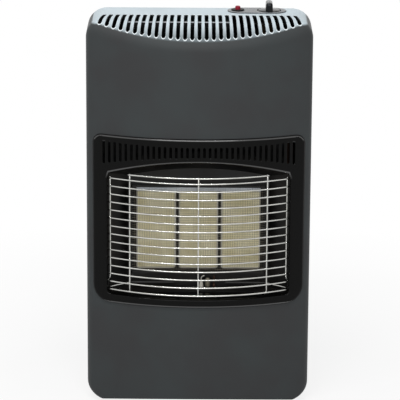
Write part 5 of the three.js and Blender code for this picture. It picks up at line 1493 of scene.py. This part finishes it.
SCREW_X = 204.6
SCREW_ZS = (90, 360, 600)


def dress_screws():
    """Pan-head screws with a cross recess, down both rear flanges."""
    head = turned([
        (0, -2.5), (3.4, -2.5), (3.6, -1.9), (3.4, -1.1), (2.7, -0.5), (1.4, -0.1), (0, 0),
    ], (0, 0, 0), 24)
    pattern = new_piece("screw_pattern", *head)
    reach, width, depth = (-1.9, 1.9), (-0.45, 0.45), (-1, 1)
    carve(pattern, joined(box(reach, width, depth), box(width, reach, depth)))
    points, faces = shape_of(pattern)
    bpy.data.objects.remove(pattern)
    turn = Matrix.Rotation(math.radians(-90), 3, "X")
    made = []
    for x in (-SCREW_X, SCREW_X):
        for z in SCREW_ZS:
            made.append(([tuple(turn @ Vector(p) + Vector((x, REAR_Y, z))) for p in points], faces))
    new_piece("panel_screws", *joined(*made), FINISHES["zinc_steel"], "cabinet", "zinc_steel", 40)


# ---------------------------------------------------------------- stage, light and camera

FLOOR_HALF = 9000
# The share of plain white in the floor near the object. Far off it is all white.
FLOOR_GLOW_NEAR = 0.84
FLOOR_NEAR_M = 0.35
FLOOR_FAR_M = 1.1


def floor_paper():
    """White studio paper. Seen directly or mirrored it fades to plain white away from the object."""
    material, tree, place = new_material("studio_paper")
    distance = add_node(tree, "ShaderNodeVectorMath", settings={"operation": "LENGTH"}, links={0: place})
    glow = add_node(
        tree, "ShaderNodeMapRange",
        links={
            "Value": distance.outputs["Value"], "From Min": FLOOR_NEAR_M, "From Max": FLOOR_FAR_M,
            "To Min": FLOOR_GLOW_NEAR, "To Max": 1.0,
        },
    )
    share = add_node(
        tree, "ShaderNodeMath", settings={"operation": "MULTIPLY"},
        links={0: seen_or_mirrored(tree), 1: glow.outputs["Result"]},
    )
    lit = add_node(
        tree, "ShaderNodeBsdfDiffuse",
        links={"Color": two_toned(tree, place, 300, "#f2f2f2", "#eeeeee"), "Roughness": 0.5},
    )
    white = add_node(tree, "ShaderNodeEmission", links={"Color": colour("#ffffff"), "Strength": 1.0})
    both = add_node(
        tree, "ShaderNodeMixShader",
        links={0: share.outputs[0], 1: lit.outputs["BSDF"], 2: white.outputs["Emission"]},
    )
    add_node(tree, "ShaderNodeOutputMaterial", links={"Surface": both.outputs["Shader"]})
    return material


def stage_floor():
    """The sheet of paper that the heater stands on."""
    half = FLOOR_HALF
    corners = [(-half, -half, 0), (half, -half, 0), (half, half, 0), (-half, half, 0)]
    floor = new_piece("studio_floor", corners, [[0, 1, 2, 3]], floor_paper())


WORLD_LIGHT = 0.25
# Lamps, in metres: (name, place, aim, size, radiance).
LAMPS = [
    ("overhead_softbox", (0, 0.35, 2.8), (0, 0.2, 0), (3.0, 1.8), 1.5),
    ("front_softbox", (-0.1, -2.8, 2.1), (0, -0.2, 0.4), (2.4, 1.4), 3.3),
    ("front_strip", (-0.4, -1.3, 2.7), (0, -0.2, 0.6), (1.4, 0.07), 70),
]


def softbox(name, spot, target, size, radiance):
    """A flat white lamp of a size in metres; radiance 1 is a white surface in full light."""
    light = bpy.data.lights.new(name, "AREA")
    light.shape = "RECTANGLE"
    light.size, light.size_y = size
    light.energy = radiance * size[0] * size[1] * math.pi
    lamp = bpy.data.objects.new(name, light)
    lamp.location = spot
    lamp.rotation_euler = (Vector(target) - Vector(spot)).to_track_quat("-Z", "Y").to_euler()
    bpy.context.scene.collection.objects.link(lamp)


def light_studio():
    """Lamps over and in front of the heater, in a room that is white where it is seen or mirrored."""
    for name, spot, target, size, radiance in LAMPS:
        softbox(name, spot, target, size, radiance)
    world = bpy.data.worlds.new("studio")
    world.use_nodes = True
    tree = world.node_tree
    tree.nodes.clear()
    strength = add_node(
        tree, "ShaderNodeMapRange",
        links={"Value": seen_or_mirrored(tree), "To Min": WORLD_LIGHT, "To Max": 1.0},
    )
    sky = add_node(
        tree, "ShaderNodeBackground",
        links={"Color": colour("#ffffff"), "Strength": strength.outputs["Result"]},
    )
    add_node(tree, "ShaderNodeOutputWorld", links={"Surface": sky.outputs["Background"]})
    bpy.context.scene.world = world


# The photo's camera: far off, a little above level and turned by a fraction of a degree.
CAMERA_DISTANCE = 5000
CAMERA_ELEVATION = 15.5
CAMERA_SENSOR = 36
CAMERA_LENS = 232.4
CAMERA_CLIP_M = 100
CAMERA_AIM = (2.7, 0, 355.2)
CAMERA_ROLL = 0.35


def place_camera():
    """Aims the camera as the photo was taken."""
    camera = bpy.data.cameras.new("camera")
    camera.sensor_width = CAMERA_SENSOR
    camera.lens = CAMERA_LENS
    camera.clip_end = CAMERA_CLIP_M
    holder = bpy.data.objects.new("camera", camera)
    tilt = math.radians(CAMERA_ELEVATION)
    back = Vector((0, -math.cos(tilt), math.sin(tilt)))
    holder.location = (Vector(CAMERA_AIM) + back * CAMERA_DISTANCE) * MM
    lean = Matrix.Rotation(math.radians(90 - CAMERA_ELEVATION), 4, "X")
    holder.rotation_euler = (lean @ Matrix.Rotation(math.radians(CAMERA_ROLL), 4, "Z")).to_euler()
    bpy.context.scene.collection.objects.link(holder)
    bpy.context.scene.camera = holder


dress_screws()
stage_floor()
light_studio()
place_camera()
bpy.context.scene.view_settings.view_transform = "Standard"
